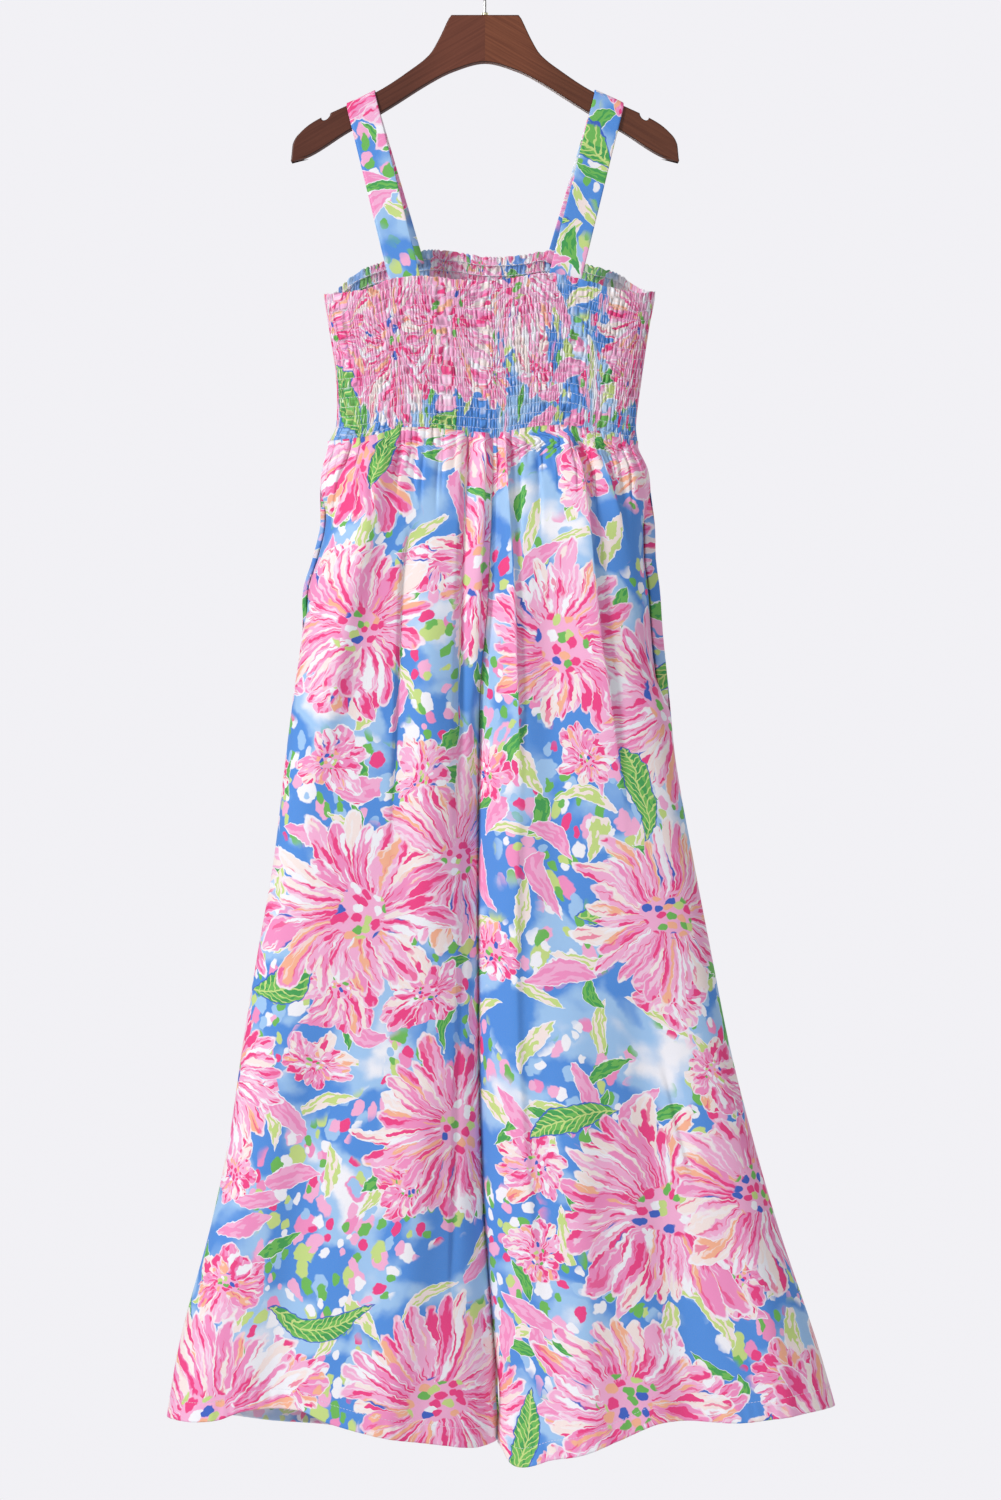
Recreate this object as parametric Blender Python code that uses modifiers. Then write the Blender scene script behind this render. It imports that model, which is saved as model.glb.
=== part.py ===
"""Wide-leg jumpsuit with a shirred bodice, hung by its straps on a wooden hanger.

Metres, +Z up. The front of the garment faces -Y, and left and right are the wearer's, so left is +X.
The origin is the point inside the top of the hook where a rail carries it.
A drop is a distance below that point. Tables are in millimetres, and MM turns them into metres.
"""
import math

import bmesh
import bpy
from mathutils import Vector

MM = 0.001
GAP = 0.0003                    # clearance between two pieces that touch
FRONT, BACK = -1, 1             # sign of y
RIGHT, LEFT = -1, 1             # sign of x

# Cloth
BODICE_WALL = 0.0015
LEG_WALL = 0.0018
STRAP_THICKNESS = 0.0020
BAG_THICKNESS = 0.0018

# Shirring
RIBS = 24                       # puckers across one bodice panel
HEADER = 0.009                  # frill above the first row of elastic
RIB_HEIGHT = 0.0019
RIB_FLOOR = 0.0003
ELASTIC_ROWS = {FRONT: 16, BACK: 18}
TOP_DROP = 0.335                # where the top edge's and the waist seam's x are read
WAIST_DROP = 0.487
BODICE_MIDDLE = 6               # x at which the elastic rows are spaced out, mm
BODICE_HALF_WIDTH = 0.160       # the section along which the puckers are spaced out
BODICE_HALF_DEPTH = 0.022
BODICE_INNER_COLUMNS = 14
BODICE_INNER_ROWS = 6
EDGE_SLANT = 0.012              # share of the height by which the inner edge lies inside the outer one

# Legs
CROTCH_DROP = 0.801
HEM_DROP = 1.461                # where the hem's x is read
LEG_COLUMNS = 30
LEG_ROWS = 13
ROW_CROWDING = 1.5              # rows are closer together below the waist
SEAM_MARGIN = 1 / 7             # share of a panel's width over which its folds fade out at a seam
FOLD_END = 1 / 4                # share of a fold's length over which it rises and falls away
GATHERS = 10                    # at the waist of one leg panel
GATHER_HEIGHT = 0.0026
GATHER_FADE = 0.085             # drop below the waist over which the gathers fade out
GATHER_AT_SEAM = 0.4            # share of a gather's height right under the waist seam
GATHER_SWELL = 0.02             # drop below the seam at which it is full
PARTING = 0.0012                # from the groove's middle line to a leg's inner edge
PARTING_TOP, PARTING_RUN = 0.50, 0.20
SPREAD = 0.0025                 # further parting between crotch and hem
SPREAD_RUN = 0.50
MOUTH_END = 1 / 5               # share of a pocket's mouth over which it draws in and returns

# Straps
STRAP_TUCK = 0.014              # how far a strap's end reaches below the bodice's top edge
STRAP_LEVEL = 341               # drop of the bodice section that the straps are sewn into, mm
STRAP_CLEARANCE = 0.0006        # from the bodice's inner side, beyond GAP
STRAP_SEWN = 0.10               # share of a strand that lies along the bodice
STRAP_STATIONS = (0.0, 0.07, 0.14, 0.3, 0.45, 0.6, 0.75, 0.9)
STRAP_BENDS = (0, 30, 60, 90)   # degrees, from the hanger's face round to its top
STRAP_COLUMNS = 4
SLOPE_ALLOWANCE = 0.0005        # extra height over the hanger arm, whose top slopes across the strap

# Hanger
WOOD_DROP = 0.062
WOOD_THICKNESS = 0.013
WOOD_ROUNDING = 0.002           # of the strap's bend over the wood's edge
WOOD_CHAMFER = 0.0016
WOOD_TOP_POINTS = 30
WOOD_BOTTOM_POINTS = 16
NOTCH_OUT = 0.159
NOTCH_RADIUS = 0.0045
NOTCH_POINTS = 6
HOOK_WIRE = 0.003
HOOK_RADIUS = 0.020             # to the middle of the wire
HOOK_SEAT = 0.018               # depth of the wire in the wood
HOOK_BEND_DROP = 0.048          # where the straight stem turns aside
HOOK_START, HOOK_END = 205, -25  # degrees round the hook's arc
HOOK_EASE = 0.021               # how gently the stem runs into the arc
HOOK_NECK_POINTS = 8
HOOK_ARC_POINTS = 22
SOCKET_SPARE = 0.003            # free depth of the socket under the wire
COLLAR_DIAMETER = 0.0065
COLLAR_HEIGHT = 0.0028

# Modelling
ARC_STEPS = 600                 # for measuring along a section
FINE = 0.000001
MERGE = 0.00001
FLAT_ANGLE = 0.01               # radians
FACING = 0.9                    # how far a face's normal points along y on the wood's two sides
CLOTH_SHARP = 40                # degrees
WOOD_SHARP = 50

# drop, half width on the wearer's right, half width on the left, half depth
BODICE_SECTIONS = (
    (290, 163, 171, 22),
    (341, 161, 170, 22),
    (375, 156, 164, 20),
    (423, 149, 157, 19),
    (472, 149, 151, 21),
    (493, 157, 153, 24),
)
LEG_SECTIONS = (
    (475, 156, 152, 24),
    (493, 157, 153, 24),
    (516, 163, 163, 29),
    (540, 165, 166, 32),
    (572, 165, 170, 34),
    (606, 173, 171, 35),
    (636, 182, 175, 35),
    (680, 183, 178, 34),
    (738, 191, 184, 33),
    (809, 200, 191, 32),
    (904, 211, 208, 32),
    (1003, 228, 227, 33),
    (1089, 242, 244, 35),
    (1185, 256, 268, 38),
    (1275, 275, 294, 41),
    (1382, 304, 330, 45),
    (1461, 318, 353, 48),
    (1510, 324, 366, 49),
)
# drop, x of the middle line between the legs
MIDDLE_LINE = ((290, 4), (486, 8), (646, 3), (746, -5), (1046, -7), (1246, -2), (1412, 10), (1510, 12))
# drop, how much of its full depth a panel still has at the middle line
MIDDLE_FULLNESS = ((475, 1.0), (495, 1.0), (530, 0.80), (650, 0.62), (740, 0.42), (801, 0.0))

# x, drop
TOP_EDGE = {
    FRONT: ((-163, 341), (-120, 338), (-93, 328), (-61, 325), (-30, 328), (6, 330), (33, 326), (62, 322),
            (91, 327), (125, 336), (154, 341), (172, 338)),
    BACK: ((-163, 341), (-129, 311), (-95, 299), (-61, 290), (-30, 294), (6, 297), (38, 296), (68, 291),
           (99, 303), (130, 316), (172, 338)),
}
WAIST_SEAM = {
    FRONT: ((-157, 493), (-112, 489), (-81, 481), (-15, 485), (6, 487), (45, 481), (82, 479), (106, 485),
            (153, 493)),
    BACK: ((-157, 493), (-100, 486), (0, 484), (100, 486), (153, 493)),
}
HEM = {
    (RIGHT, FRONT): ((-318, 1461), (-266, 1458), (-239, 1449), (-185, 1448), (-154, 1460), (-94, 1474),
                     (-45, 1482), (-11, 1487), (9, 1485)),
    (RIGHT, BACK): ((-318, 1461), (-270, 1466), (-215, 1476), (-140, 1484), (-94, 1492), (-30, 1492),
                    (9, 1485)),
    (LEFT, FRONT): ((13, 1487), (26, 1504), (40, 1506), (65, 1497), (93, 1491), (135, 1475), (176, 1460),
                    (252, 1460), (288, 1456), (350, 1450)),
    (LEFT, BACK): ((13, 1487), (60, 1494), (130, 1484), (210, 1470), (290, 1462), (350, 1450)),
}
# leg, side, drop and x at the top, drop and x at the end, half width, height
FOLDS = (
    (RIGHT, FRONT, 470, -135, 700, -140, 13, 8),
    (RIGHT, FRONT, 660, -136, 900, -176, 17, 8),
    (RIGHT, FRONT, 600, -84, 930, -94, 15, -8),
    (RIGHT, FRONT, 470, -4, 800, -16, 11, 7),
    (RIGHT, FRONT, 560, -50, 1120, -52, 22, 8),
    (RIGHT, FRONT, 1080, -60, 1560, -100, 34, 12),
    (RIGHT, FRONT, 1000, -150, 1560, -215, 32, -12),
    (LEFT, FRONT, 500, 24, 700, 22, 10, -6),
    (LEFT, FRONT, 470, 94, 700, 117, 14, 11),
    (LEFT, FRONT, 640, 112, 900, 138, 17, 10),
    (LEFT, FRONT, 560, 60, 1050, 70, 20, -8),
    (LEFT, FRONT, 1000, 70, 1560, 90, 30, 12),
    (LEFT, FRONT, 980, 150, 1560, 205, 34, -12),
    (RIGHT, BACK, 480, -110, 860, -128, 18, 9),
    (RIGHT, BACK, 560, -52, 1150, -60, 22, -9),
    (RIGHT, BACK, 1000, -110, 1560, -160, 34, 12),
    (LEFT, BACK, 480, 60, 820, 72, 17, 9),
    (LEFT, BACK, 600, 118, 1150, 140, 22, -9),
    (LEFT, BACK, 1000, 110, 1560, 170, 34, 12),
)
# leg: drop of the mouth's top and bottom, how far the front panel stands back from the side seam
POCKET_MOUTH = {RIGHT: (530, 680, 5), LEFT: (530, 715, 11)}
# drop, width of the bag
BAG_SHAPE = ((530, 77), (590, 100), (633, 105), (674, 100), (722, 84), (770, 58))
BAG_COLUMNS = 3

# distance out from the middle, drop below the wood's top
WOOD_UPPER = ((33.5, 0), (36.5, 4), (45, 22), (55, 39), (76, 56), (105, 75), (137, 90), (170, 106),
              (184, 117), (192, 129), (194, 145))
WOOD_LOWER = ((0, 47), (31, 55), (55, 67), (98, 94), (133, 114), (194, 145))
# distance out of a strap's outer and inner edge, at the bodice and on the hanger
STRAP_AT_BODICE = (92.5, 61)
STRAP_AT_HANGER = (138, 109.5)

COLOURS = {
    "cloth": ((0.86, 0.42, 0.62, 1.0), 0.55, 0.0),
    "wood": ((0.075, 0.022, 0.014, 1.0), 0.35, 0.0),
    "steel": ((0.62, 0.62, 0.62, 1.0), 0.25, 1.0),
    "brass": ((0.76, 0.62, 0.36, 1.0), 0.30, 1.0),
}


def material(name):
    colour, roughness, metallic = COLOURS[name]
    made = bpy.data.materials.new(name)
    made.use_nodes = True
    shader = made.node_tree.nodes["Principled BSDF"]
    shader.inputs["Base Color"].default_value = colour
    shader.inputs["Roughness"].default_value = roughness
    shader.inputs["Metallic"].default_value = metallic
    return made


def collection(name):
    made = bpy.data.collections.new(name)
    bpy.context.scene.collection.children.link(made)
    return made


def smooth(table, at, column=1):
    """A smooth curve through one column of a table, read at a value of its first column."""
    keys = [row[0] for row in table]
    values = [row[column] for row in table]
    if at <= keys[0]:
        return values[0]
    if at >= keys[-1]:
        return values[-1]
    slopes = [0.0] * len(keys)
    for i in range(1, len(keys) - 1):
        slopes[i] = (values[i + 1] - values[i - 1]) / (keys[i + 1] - keys[i - 1])
    i = max(j for j in range(len(keys) - 1) if keys[j] <= at)
    return eased(values[i], values[i + 1], slopes[i], slopes[i + 1], (at - keys[i]), keys[i + 1] - keys[i])


def eased(start, end, leaving, arriving, way, span):
    """A cubic from start to end with a slope at each, read partway along its span."""
    t = way / span
    return ((2 * t**3 - 3 * t**2 + 1) * start + (t**3 - 2 * t**2 + t) * span * leaving
            + (3 * t**2 - 2 * t**3) * end + (t**3 - t**2) * span * arriving)


def fade(t):
    t = min(max(t, 0.0), 1.0)
    return t * t * (3 - 2 * t)


def rise_and_fall(t, end):
    """0 at both ends of a stretch, 1 in between, with this share of it to rise and to fall."""
    return fade(t / end) * fade((1 - t) / end)


def between(pair, share):
    return pair[0] + (pair[1] - pair[0]) * share


def roundness(angle):
    """Depth of a pillow-shaped section, 1 in its middle and 0 at its two seams."""
    return math.cos(angle) * math.sqrt(1 + math.sin(angle)**2)


def angle_at_depth(fullness):
    """The angle on a section's inner half where its depth has fallen to this share."""
    return math.asin((1 - fullness**2)**0.25)


def even_angles(count):
    """Angles that divide the bodice's section into steps of equal length."""
    angles = [math.pi * (i / ARC_STEPS - 0.5) for i in range(ARC_STEPS + 1)]
    points = [Vector((BODICE_HALF_WIDTH * math.sin(a), BODICE_HALF_DEPTH * roundness(a))) for a in angles]
    lengths = [0.0]
    for before, after in zip(points, points[1:]):
        lengths.append(lengths[-1] + (after - before).length)
    table = list(zip(lengths, angles))
    even = [smooth(table, lengths[-1] * i / count) for i in range(count + 1)]
    even[0], even[-1] = -math.pi / 2, math.pi / 2
    return even


def stitch(mesh, first, second):
    """Triangles between two rows of vertices that may differ in number."""
    i = j = 0
    while i < len(first) - 1 or j < len(second) - 1:
        next_first = (i + 1) / (len(first) - 1)
        next_second = (j + 1) / (len(second) - 1)
        if next_first <= next_second and i < len(first) - 1 or j == len(second) - 1:
            mesh.faces.new((first[i], first[i + 1], second[j]))
            i += 1
        else:
            mesh.faces.new((first[i], second[j + 1], second[j]))
            j += 1


def border(grid):
    return grid[0], [row[-1] for row in grid], grid[-1], [row[0] for row in grid]


def sheet(mesh, points):
    """A grid of four-sided faces over rows of points. Its vertices come back, row by row."""
    grid = [[mesh.verts.new(point) for point in row] for row in points]
    for above, below in zip(grid, grid[1:]):
        for i in range(len(above) - 1):
            mesh.faces.new((above[i], above[i + 1], below[i + 1], below[i]))
    return grid


def wall(name, outer, inner, finish, into):
    """A closed wall between an outer and an inner grid of points, which may differ in fineness."""
    mesh = bmesh.new()
    for outer_chain, inner_chain in zip(border(sheet(mesh, outer)), border(sheet(mesh, inner))):
        stitch(mesh, outer_chain, inner_chain)
    bmesh.ops.recalc_face_normals(mesh, faces=mesh.faces)
    return finished(name, mesh, finish, into)


def finished(name, mesh, finish, into):
    data = bpy.data.meshes.new(name)
    mesh.to_mesh(data)
    mesh.free()
    made = bpy.data.objects.new(name, data)
    data.materials.append(finish)
    into.objects.link(made)
    data.shade_smooth()
    data.set_sharp_from_angle(angle=math.radians(CLOTH_SHARP))
    return made


def curve(name, points, closed):
    """A curve object's data, with one spline straight from point to point."""
    data = bpy.data.curves.new(name, "CURVE")
    spline = data.splines.new("POLY")
    spline.points.add(len(points) - 1)
    spline.use_cyclic_u = closed
    for point, place in zip(spline.points, points):
        point.co = (*place, 1.0)
    return data


def bodice_x(angle, drop, inset=0.0):
    middle = smooth(MIDDLE_LINE, drop / MM) * MM
    if angle > 0:
        reach = smooth(BODICE_SECTIONS, drop / MM, 2) * MM - inset - middle
    else:
        reach = smooth(BODICE_SECTIONS, drop / MM, 1) * MM - inset + middle
    return middle + reach * math.sin(angle)


def bodice_point(angle, share, side, inset, lift):
    """A point of a bodice panel: share runs from its top edge to the waist, inset goes into the wall."""
    top = smooth(TOP_EDGE[side], bodice_x(angle, TOP_DROP) / MM) * MM
    waist = smooth(WAIST_SEAM[side], bodice_x(angle, WAIST_DROP) / MM) * MM
    drop = top + (waist - top) * share
    depth = smooth(BODICE_SECTIONS, drop / MM, 3) * MM - inset
    y = side * (depth * roundness(angle) + GAP / 2 + lift)
    return Vector((bodice_x(angle, drop, inset), y, -drop))


def bodice_shares(side):
    """Shares of the height at the frill's edge, at each row of elastic, and halfway between the rows."""
    rows = ELASTIC_ROWS[side]
    height = (smooth(WAIST_SEAM[side], BODICE_MIDDLE) - smooth(TOP_EDGE[side], BODICE_MIDDLE)) * MM
    first = HEADER / height
    pitch = (1 - first) / (rows - 1)
    return [0.0] + [first + pitch * i / 2 for i in range(2 * rows - 1)]


def bodice(name, side, cloth, into):
    """A panel with puckers between its rows of elastic, half a pucker out of step from row to row."""
    angles = even_angles(2 * RIBS)
    outer = []
    for i, share in enumerate(bodice_shares(side)):
        between_elastics = i % 2 == 0
        row = []
        for j, angle in enumerate(angles):
            crest = (j + i // 2) % 2 == 1
            lift = RIB_HEIGHT if between_elastics and crest else RIB_FLOOR
            row.append(bodice_point(angle, share, side, 0.0, lift * roundness(angle)))
        outer.append(row)
    inner_angles = even_angles(BODICE_INNER_COLUMNS)
    inner = []
    for i in range(BODICE_INNER_ROWS + 1):
        share = between((EDGE_SLANT, 1 - EDGE_SLANT), i / BODICE_INNER_ROWS)
        inner.append([bodice_point(angle, share, side, BODICE_WALL, 0.0) for angle in inner_angles])
    return wall(name, outer, inner, cloth, into)


def fold_height(leg, side, x, drop):
    total = 0.0
    for fold_leg, fold_side, top, x_top, end, x_end, half_width, height in FOLDS:
        t = (drop / MM - top) / (end - top)
        if (fold_leg, fold_side) == (leg, side) and 0 < t < 1:
            away = (x / MM - between((x_top, x_end), t)) / half_width
            total += height * MM * math.exp(-away**2) * rise_and_fall(t, FOLD_END)
    return total


def mouth_inset(leg, drop):
    top, bottom, inset = POCKET_MOUTH[leg]
    t = (drop / MM - top) / (bottom - top)
    return inset * MM * rise_and_fall(t, MOUTH_END) if 0 < t < 1 else 0.0


def leg_side_x(leg, drop):
    return leg * smooth(LEG_SECTIONS, drop / MM, 1 if leg == RIGHT else 2) * MM


def leg_inner_x(leg, drop):
    parting = PARTING * fade((drop - PARTING_TOP) / PARTING_RUN)
    spread = SPREAD * fade((drop - CROTCH_DROP) / SPREAD_RUN)
    return smooth(MIDDLE_LINE, drop / MM) * MM + leg * (parting + spread + GAP / 2)


def leg_point(leg, side, u, share, inside):
    """A point of a leg panel: u runs from the side seam to the inner edge, share from waist to hem."""
    waist_ends = leg_side_x(leg, WAIST_DROP), leg_inner_x(leg, WAIST_DROP)
    waist_x = between(waist_ends, 1 - math.cos(u * math.pi / 2))
    hem_ends = leg_side_x(leg, HEM_DROP), leg_inner_x(leg, HEM_DROP)
    hem_x = between(hem_ends, (1 - math.cos(u * math.pi)) / 2)
    waist = smooth(WAIST_SEAM[side], waist_x / MM) * MM + GAP
    hem = smooth(HEM[leg, side], hem_x / MM) * MM
    drop = waist + (hem - waist) * share
    side_x = leg_side_x(leg, drop)
    if side == FRONT:
        side_x -= leg * mouth_inset(leg, drop)
    inner_x = leg_inner_x(leg, drop)
    depth = smooth(LEG_SECTIONS, drop / MM, 3) * MM
    edge_depth = depth * smooth(MIDDLE_FULLNESS, drop / MM) if drop < CROTCH_DROP else 0.0
    if inside:
        side_x -= leg * LEG_WALL
        inner_x += leg * math.sqrt(max(LEG_WALL**2 - edge_depth**2, 0.0))
        depth -= LEG_WALL
        edge_depth = max(edge_depth - LEG_WALL, 0.0)
    last = angle_at_depth(min(edge_depth / depth, 1.0))
    angle = between((-math.pi / 2, last), u)
    along = (math.sin(angle) + 1) / (math.sin(last) + 1)
    x = between((side_x, inner_x), along)
    gather = GATHER_HEIGHT * math.cos(2 * math.pi * GATHERS * u) * math.exp(-(drop - waist) / GATHER_FADE)
    gather *= between((GATHER_AT_SEAM, 1), fade((drop - waist) / GATHER_SWELL))
    relief = rise_and_fall(u, SEAM_MARGIN) * (gather + fold_height(leg, side, x, drop))
    y = side * (depth * roundness(angle) + GAP / 2 + relief)
    return Vector((x, y, -drop))


def leg_shares():
    return [(i / LEG_ROWS)**ROW_CROWDING for i in range(LEG_ROWS + 1)]


def leg_panel(name, leg, side, cloth, into):
    grids = []
    for inside in (False, True):
        grids.append([[leg_point(leg, side, j / LEG_COLUMNS, share, inside)
                       for j in range(LEG_COLUMNS + 1)] for share in leg_shares()])
    return wall(name, grids[0], grids[1], cloth, into)


def seam_rows(leg):
    """Points down the inside of the side seam, from the top of the pocket bag to its bottom."""
    top, bottom = BAG_SHAPE[0][0] * MM, BAG_SHAPE[-1][0] * MM
    seam = [leg_point(leg, BACK, 0.0, share, True) for share in leg_shares()]
    rows = []
    for above, below in zip(seam, seam[1:]):
        rows += [above, above.lerp(below, 0.5)]
        for level in (-top, -bottom):
            if below.z < level < above.z:
                rows.append(above.lerp(below, (above.z - level) / (above.z - below.z)))
    beside_bag = [point for point in rows if -bottom - FINE <= point.z <= -top + FINE]
    return sorted(beside_bag, key=lambda point: -point.z)


def pocket_bag(name, leg, cloth, into):
    """The flat bag behind a pocket's mouth, sewn to the side seam."""
    grids = []
    for y in (GAP, GAP + BAG_THICKNESS):
        grid = []
        for point in seam_rows(leg):
            width = smooth(BAG_SHAPE, -point.z / MM) * MM
            edge = abs(point.x) - GAP
            grid.append([Vector((leg * (edge - width * j / BAG_COLUMNS), y, point.z))
                         for j in range(BAG_COLUMNS + 1)])
        grids.append(grid)
    return wall(name, grids[0], grids[1], cloth, into)


def strap_point(leg, side, t, across, face):
    """A point of one strand: t runs from its sewn end inside the bodice to the hanger's top."""
    low_out = between(STRAP_AT_BODICE, across) * MM
    high_out = between(STRAP_AT_HANGER, across) * MM
    low = smooth(TOP_EDGE[side], leg * low_out / MM) * MM + STRAP_TUCK
    high = WOOD_DROP + smooth(WOOD_UPPER, high_out / MM) * MM + WOOD_ROUNDING
    out = between((low_out, high_out), t)
    width = smooth(BODICE_SECTIONS, STRAP_LEVEL, 2 if leg == LEFT else 1) * MM - BODICE_WALL
    depth = smooth(BODICE_SECTIONS, STRAP_LEVEL, 3) * MM - BODICE_WALL
    sewn = depth * math.sqrt(1 - (out / width)**4) - GAP - STRAP_THICKNESS / 2 - STRAP_CLEARANCE
    y = between((sewn, face), max(t - STRAP_SEWN, 0.0) / (1 - STRAP_SEWN))
    return Vector((leg * out, side * y, -between((low, high), t)))


def strap_bend(leg, side, swing, across, offset):
    """A point where the strap bends over the edge of the hanger arm."""
    out = between(STRAP_AT_HANGER, across) * MM
    corner = WOOD_ROUNDING + offset
    y = WOOD_THICKNESS / 2 - WOOD_ROUNDING + corner * math.cos(swing)
    top = -WOOD_DROP - smooth(WOOD_UPPER, out / MM) * MM
    z = top - WOOD_ROUNDING + (corner + SLOPE_ALLOWANCE) * math.sin(swing)
    return Vector((leg * out, side * y, z))


def strap(name, leg, cloth, into):
    """One strip from inside the front top edge, over the hanger arm, to inside the back top edge."""
    offset = GAP + STRAP_THICKNESS / 2
    face = WOOD_THICKNESS / 2 + offset
    across = [j / STRAP_COLUMNS for j in range(STRAP_COLUMNS + 1)]
    rows = []
    for side in (FRONT, BACK):
        strand = [[strap_point(leg, side, t, share, face) for share in across] for t in STRAP_STATIONS]
        for bend in STRAP_BENDS:
            strand.append([strap_bend(leg, side, math.radians(bend), share, offset) for share in across])
        rows += strand if side == FRONT else reversed(strand)
    mesh = bmesh.new()
    sheet(mesh, rows)
    bmesh.ops.recalc_face_normals(mesh, faces=mesh.faces)
    made = finished(name, mesh, cloth, into)
    shell = made.modifiers.new("thickness", "SOLIDIFY")
    shell.thickness = STRAP_THICKNESS
    shell.offset = 0.0
    shell.use_even_offset = True
    return made


def wood_outline():
    """Distance out and drop round one half of the wood, with the notch in its upper edge, mm."""
    notch_out, notch_radius = NOTCH_OUT / MM, NOTCH_RADIUS / MM
    inmost, outmost = WOOD_UPPER[0][0], WOOD_UPPER[-1][0]
    upper = [between((inmost, outmost), math.sin(math.pi / 2 * i / WOOD_TOP_POINTS))
             for i in range(WOOD_TOP_POINTS)]
    before = [(out, smooth(WOOD_UPPER, out)) for out in upper if out < notch_out - notch_radius]
    after = [(out, smooth(WOOD_UPPER, out)) for out in upper if out > notch_out + notch_radius]
    notch = []
    for i in range(NOTCH_POINTS + 1):
        swing = math.pi * (1 - i / NOTCH_POINTS)
        out = notch_out + notch_radius * math.cos(swing)
        notch.append((out, smooth(WOOD_UPPER, out) + notch_radius * math.sin(swing)))
    joint = GAP / 2 / MM
    lower = []
    for i in range(WOOD_BOTTOM_POINTS + 1):
        out = outmost * (1 - i / WOOD_BOTTOM_POINTS)
        lower.append((max(out, joint), smooth(WOOD_LOWER, out)))
    return [(joint, 0.0)] + before + notch + after + lower


def wood_half(name, leg, wood, socket, into):
    """One half of the hanger's wood, from the glued joint in the middle to the tip."""
    points = [(leg * out * MM, -WOOD_DROP - drop * MM, 0.0) for out, drop in wood_outline()]
    data = curve(name, points, closed=True)
    data.dimensions = "2D"
    data.fill_mode = "BOTH"
    data.extrude = WOOD_THICKNESS / 2
    source = bpy.data.objects.new(name + "_outline", data)
    source.rotation_euler = (math.pi / 2, 0.0, 0.0)
    into.objects.link(source)
    bpy.context.view_layer.update()
    shape = bpy.data.meshes.new_from_object(source.evaluated_get(bpy.context.evaluated_depsgraph_get()))
    shape.transform(source.matrix_world)
    bpy.data.objects.remove(source, do_unlink=True)
    mesh = bmesh.new()
    mesh.from_mesh(shape)
    bmesh.ops.remove_doubles(mesh, verts=mesh.verts, dist=MERGE)
    flat = [edge for edge in mesh.edges if len(edge.link_faces) == 2 and edge.calc_face_angle() < FLAT_ANGLE]
    across_face = [edge for edge in flat if abs(edge.link_faces[0].normal.y) > FACING]
    bmesh.ops.dissolve_edges(mesh, edges=across_face)
    bmesh.ops.recalc_face_normals(mesh, faces=mesh.faces)
    made = finished(name, mesh, wood, into)
    rounding = made.modifiers.new("rounded edges", "BEVEL")
    rounding.width = WOOD_CHAMFER
    rounding.segments = 1
    rounding.use_clamp_overlap = False
    rounding.limit_method = "ANGLE"
    rounding.angle_limit = math.radians(WOOD_SHARP)
    cut = made.modifiers.new("socket", "BOOLEAN")
    cut.operation = "DIFFERENCE"
    cut.object = socket
    return made


def hook_socket(into):
    """The cutter for the hole that the hook's wire stands in."""
    depth = HOOK_SEAT + SOCKET_SPARE
    bpy.ops.mesh.primitive_cylinder_add(vertices=16, radius=HOOK_WIRE / 2 + GAP, depth=2 * depth,
                                        location=(0, 0, -WOOD_DROP))
    cutter = bpy.context.object
    cutter.name = "hook_socket"
    for home in list(cutter.users_collection):
        home.objects.unlink(cutter)
    into.objects.link(cutter)
    cutter.hide_render = True
    cutter.display_type = "WIRE"
    return cutter


def hook(name, steel, into):
    """The wire: seated in the wood, up, out to the wearer's right and over to an open end on the left."""
    def on_arc(swing):
        return Vector((math.cos(swing), 0, math.sin(swing))) * HOOK_RADIUS + centre

    centre = Vector((0, 0, HOOK_WIRE / 2 - HOOK_RADIUS))
    bend = Vector((0, 0, -HOOK_BEND_DROP))
    swings = math.radians(HOOK_START), math.radians(HOOK_END)
    onto_arc = Vector((math.sin(swings[0]), 0, -math.cos(swings[0])))
    points = [Vector((0, 0, -WOOD_DROP - HOOK_SEAT)), Vector((0, 0, -WOOD_DROP)), bend]
    for i in range(1, HOOK_NECK_POINTS):
        way = HOOK_EASE * i / HOOK_NECK_POINTS
        points.append(eased(bend, on_arc(swings[0]), Vector((0, 0, 1)), onto_arc, way, HOOK_EASE))
    points += [on_arc(between(swings, i / HOOK_ARC_POINTS)) for i in range(HOOK_ARC_POINTS + 1)]
    data = curve(name, points, closed=False)
    data.dimensions = "3D"
    data.bevel_depth = HOOK_WIRE / 2
    data.bevel_resolution = 2
    data.use_fill_caps = True
    data.materials.append(steel)
    made = bpy.data.objects.new(name, data)
    into.objects.link(made)
    return made


def collar(name, brass, into):
    """A turned ring round the wire, standing on the wood."""
    inner, outer = HOOK_WIRE / 2 + GAP, COLLAR_DIAMETER / 2
    low = -WOOD_DROP + GAP
    high = low + COLLAR_HEIGHT
    mesh = bmesh.new()
    profile = [(outer, high), (outer, low), (inner, low), (inner, high)]
    corners = [mesh.verts.new((x, 0, z)) for x, z in profile]
    for corner, following in zip(corners, corners[1:] + corners[:1]):
        mesh.edges.new((corner, following))
    data = bpy.data.meshes.new(name)
    mesh.to_mesh(data)
    mesh.free()
    data.materials.append(brass)
    made = bpy.data.objects.new(name, data)
    into.objects.link(made)
    turned = made.modifiers.new("turned", "SCREW")
    turned.steps = turned.render_steps = 16
    turned.use_merge_vertices = True
    turned.merge_threshold = MERGE
    return made


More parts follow.
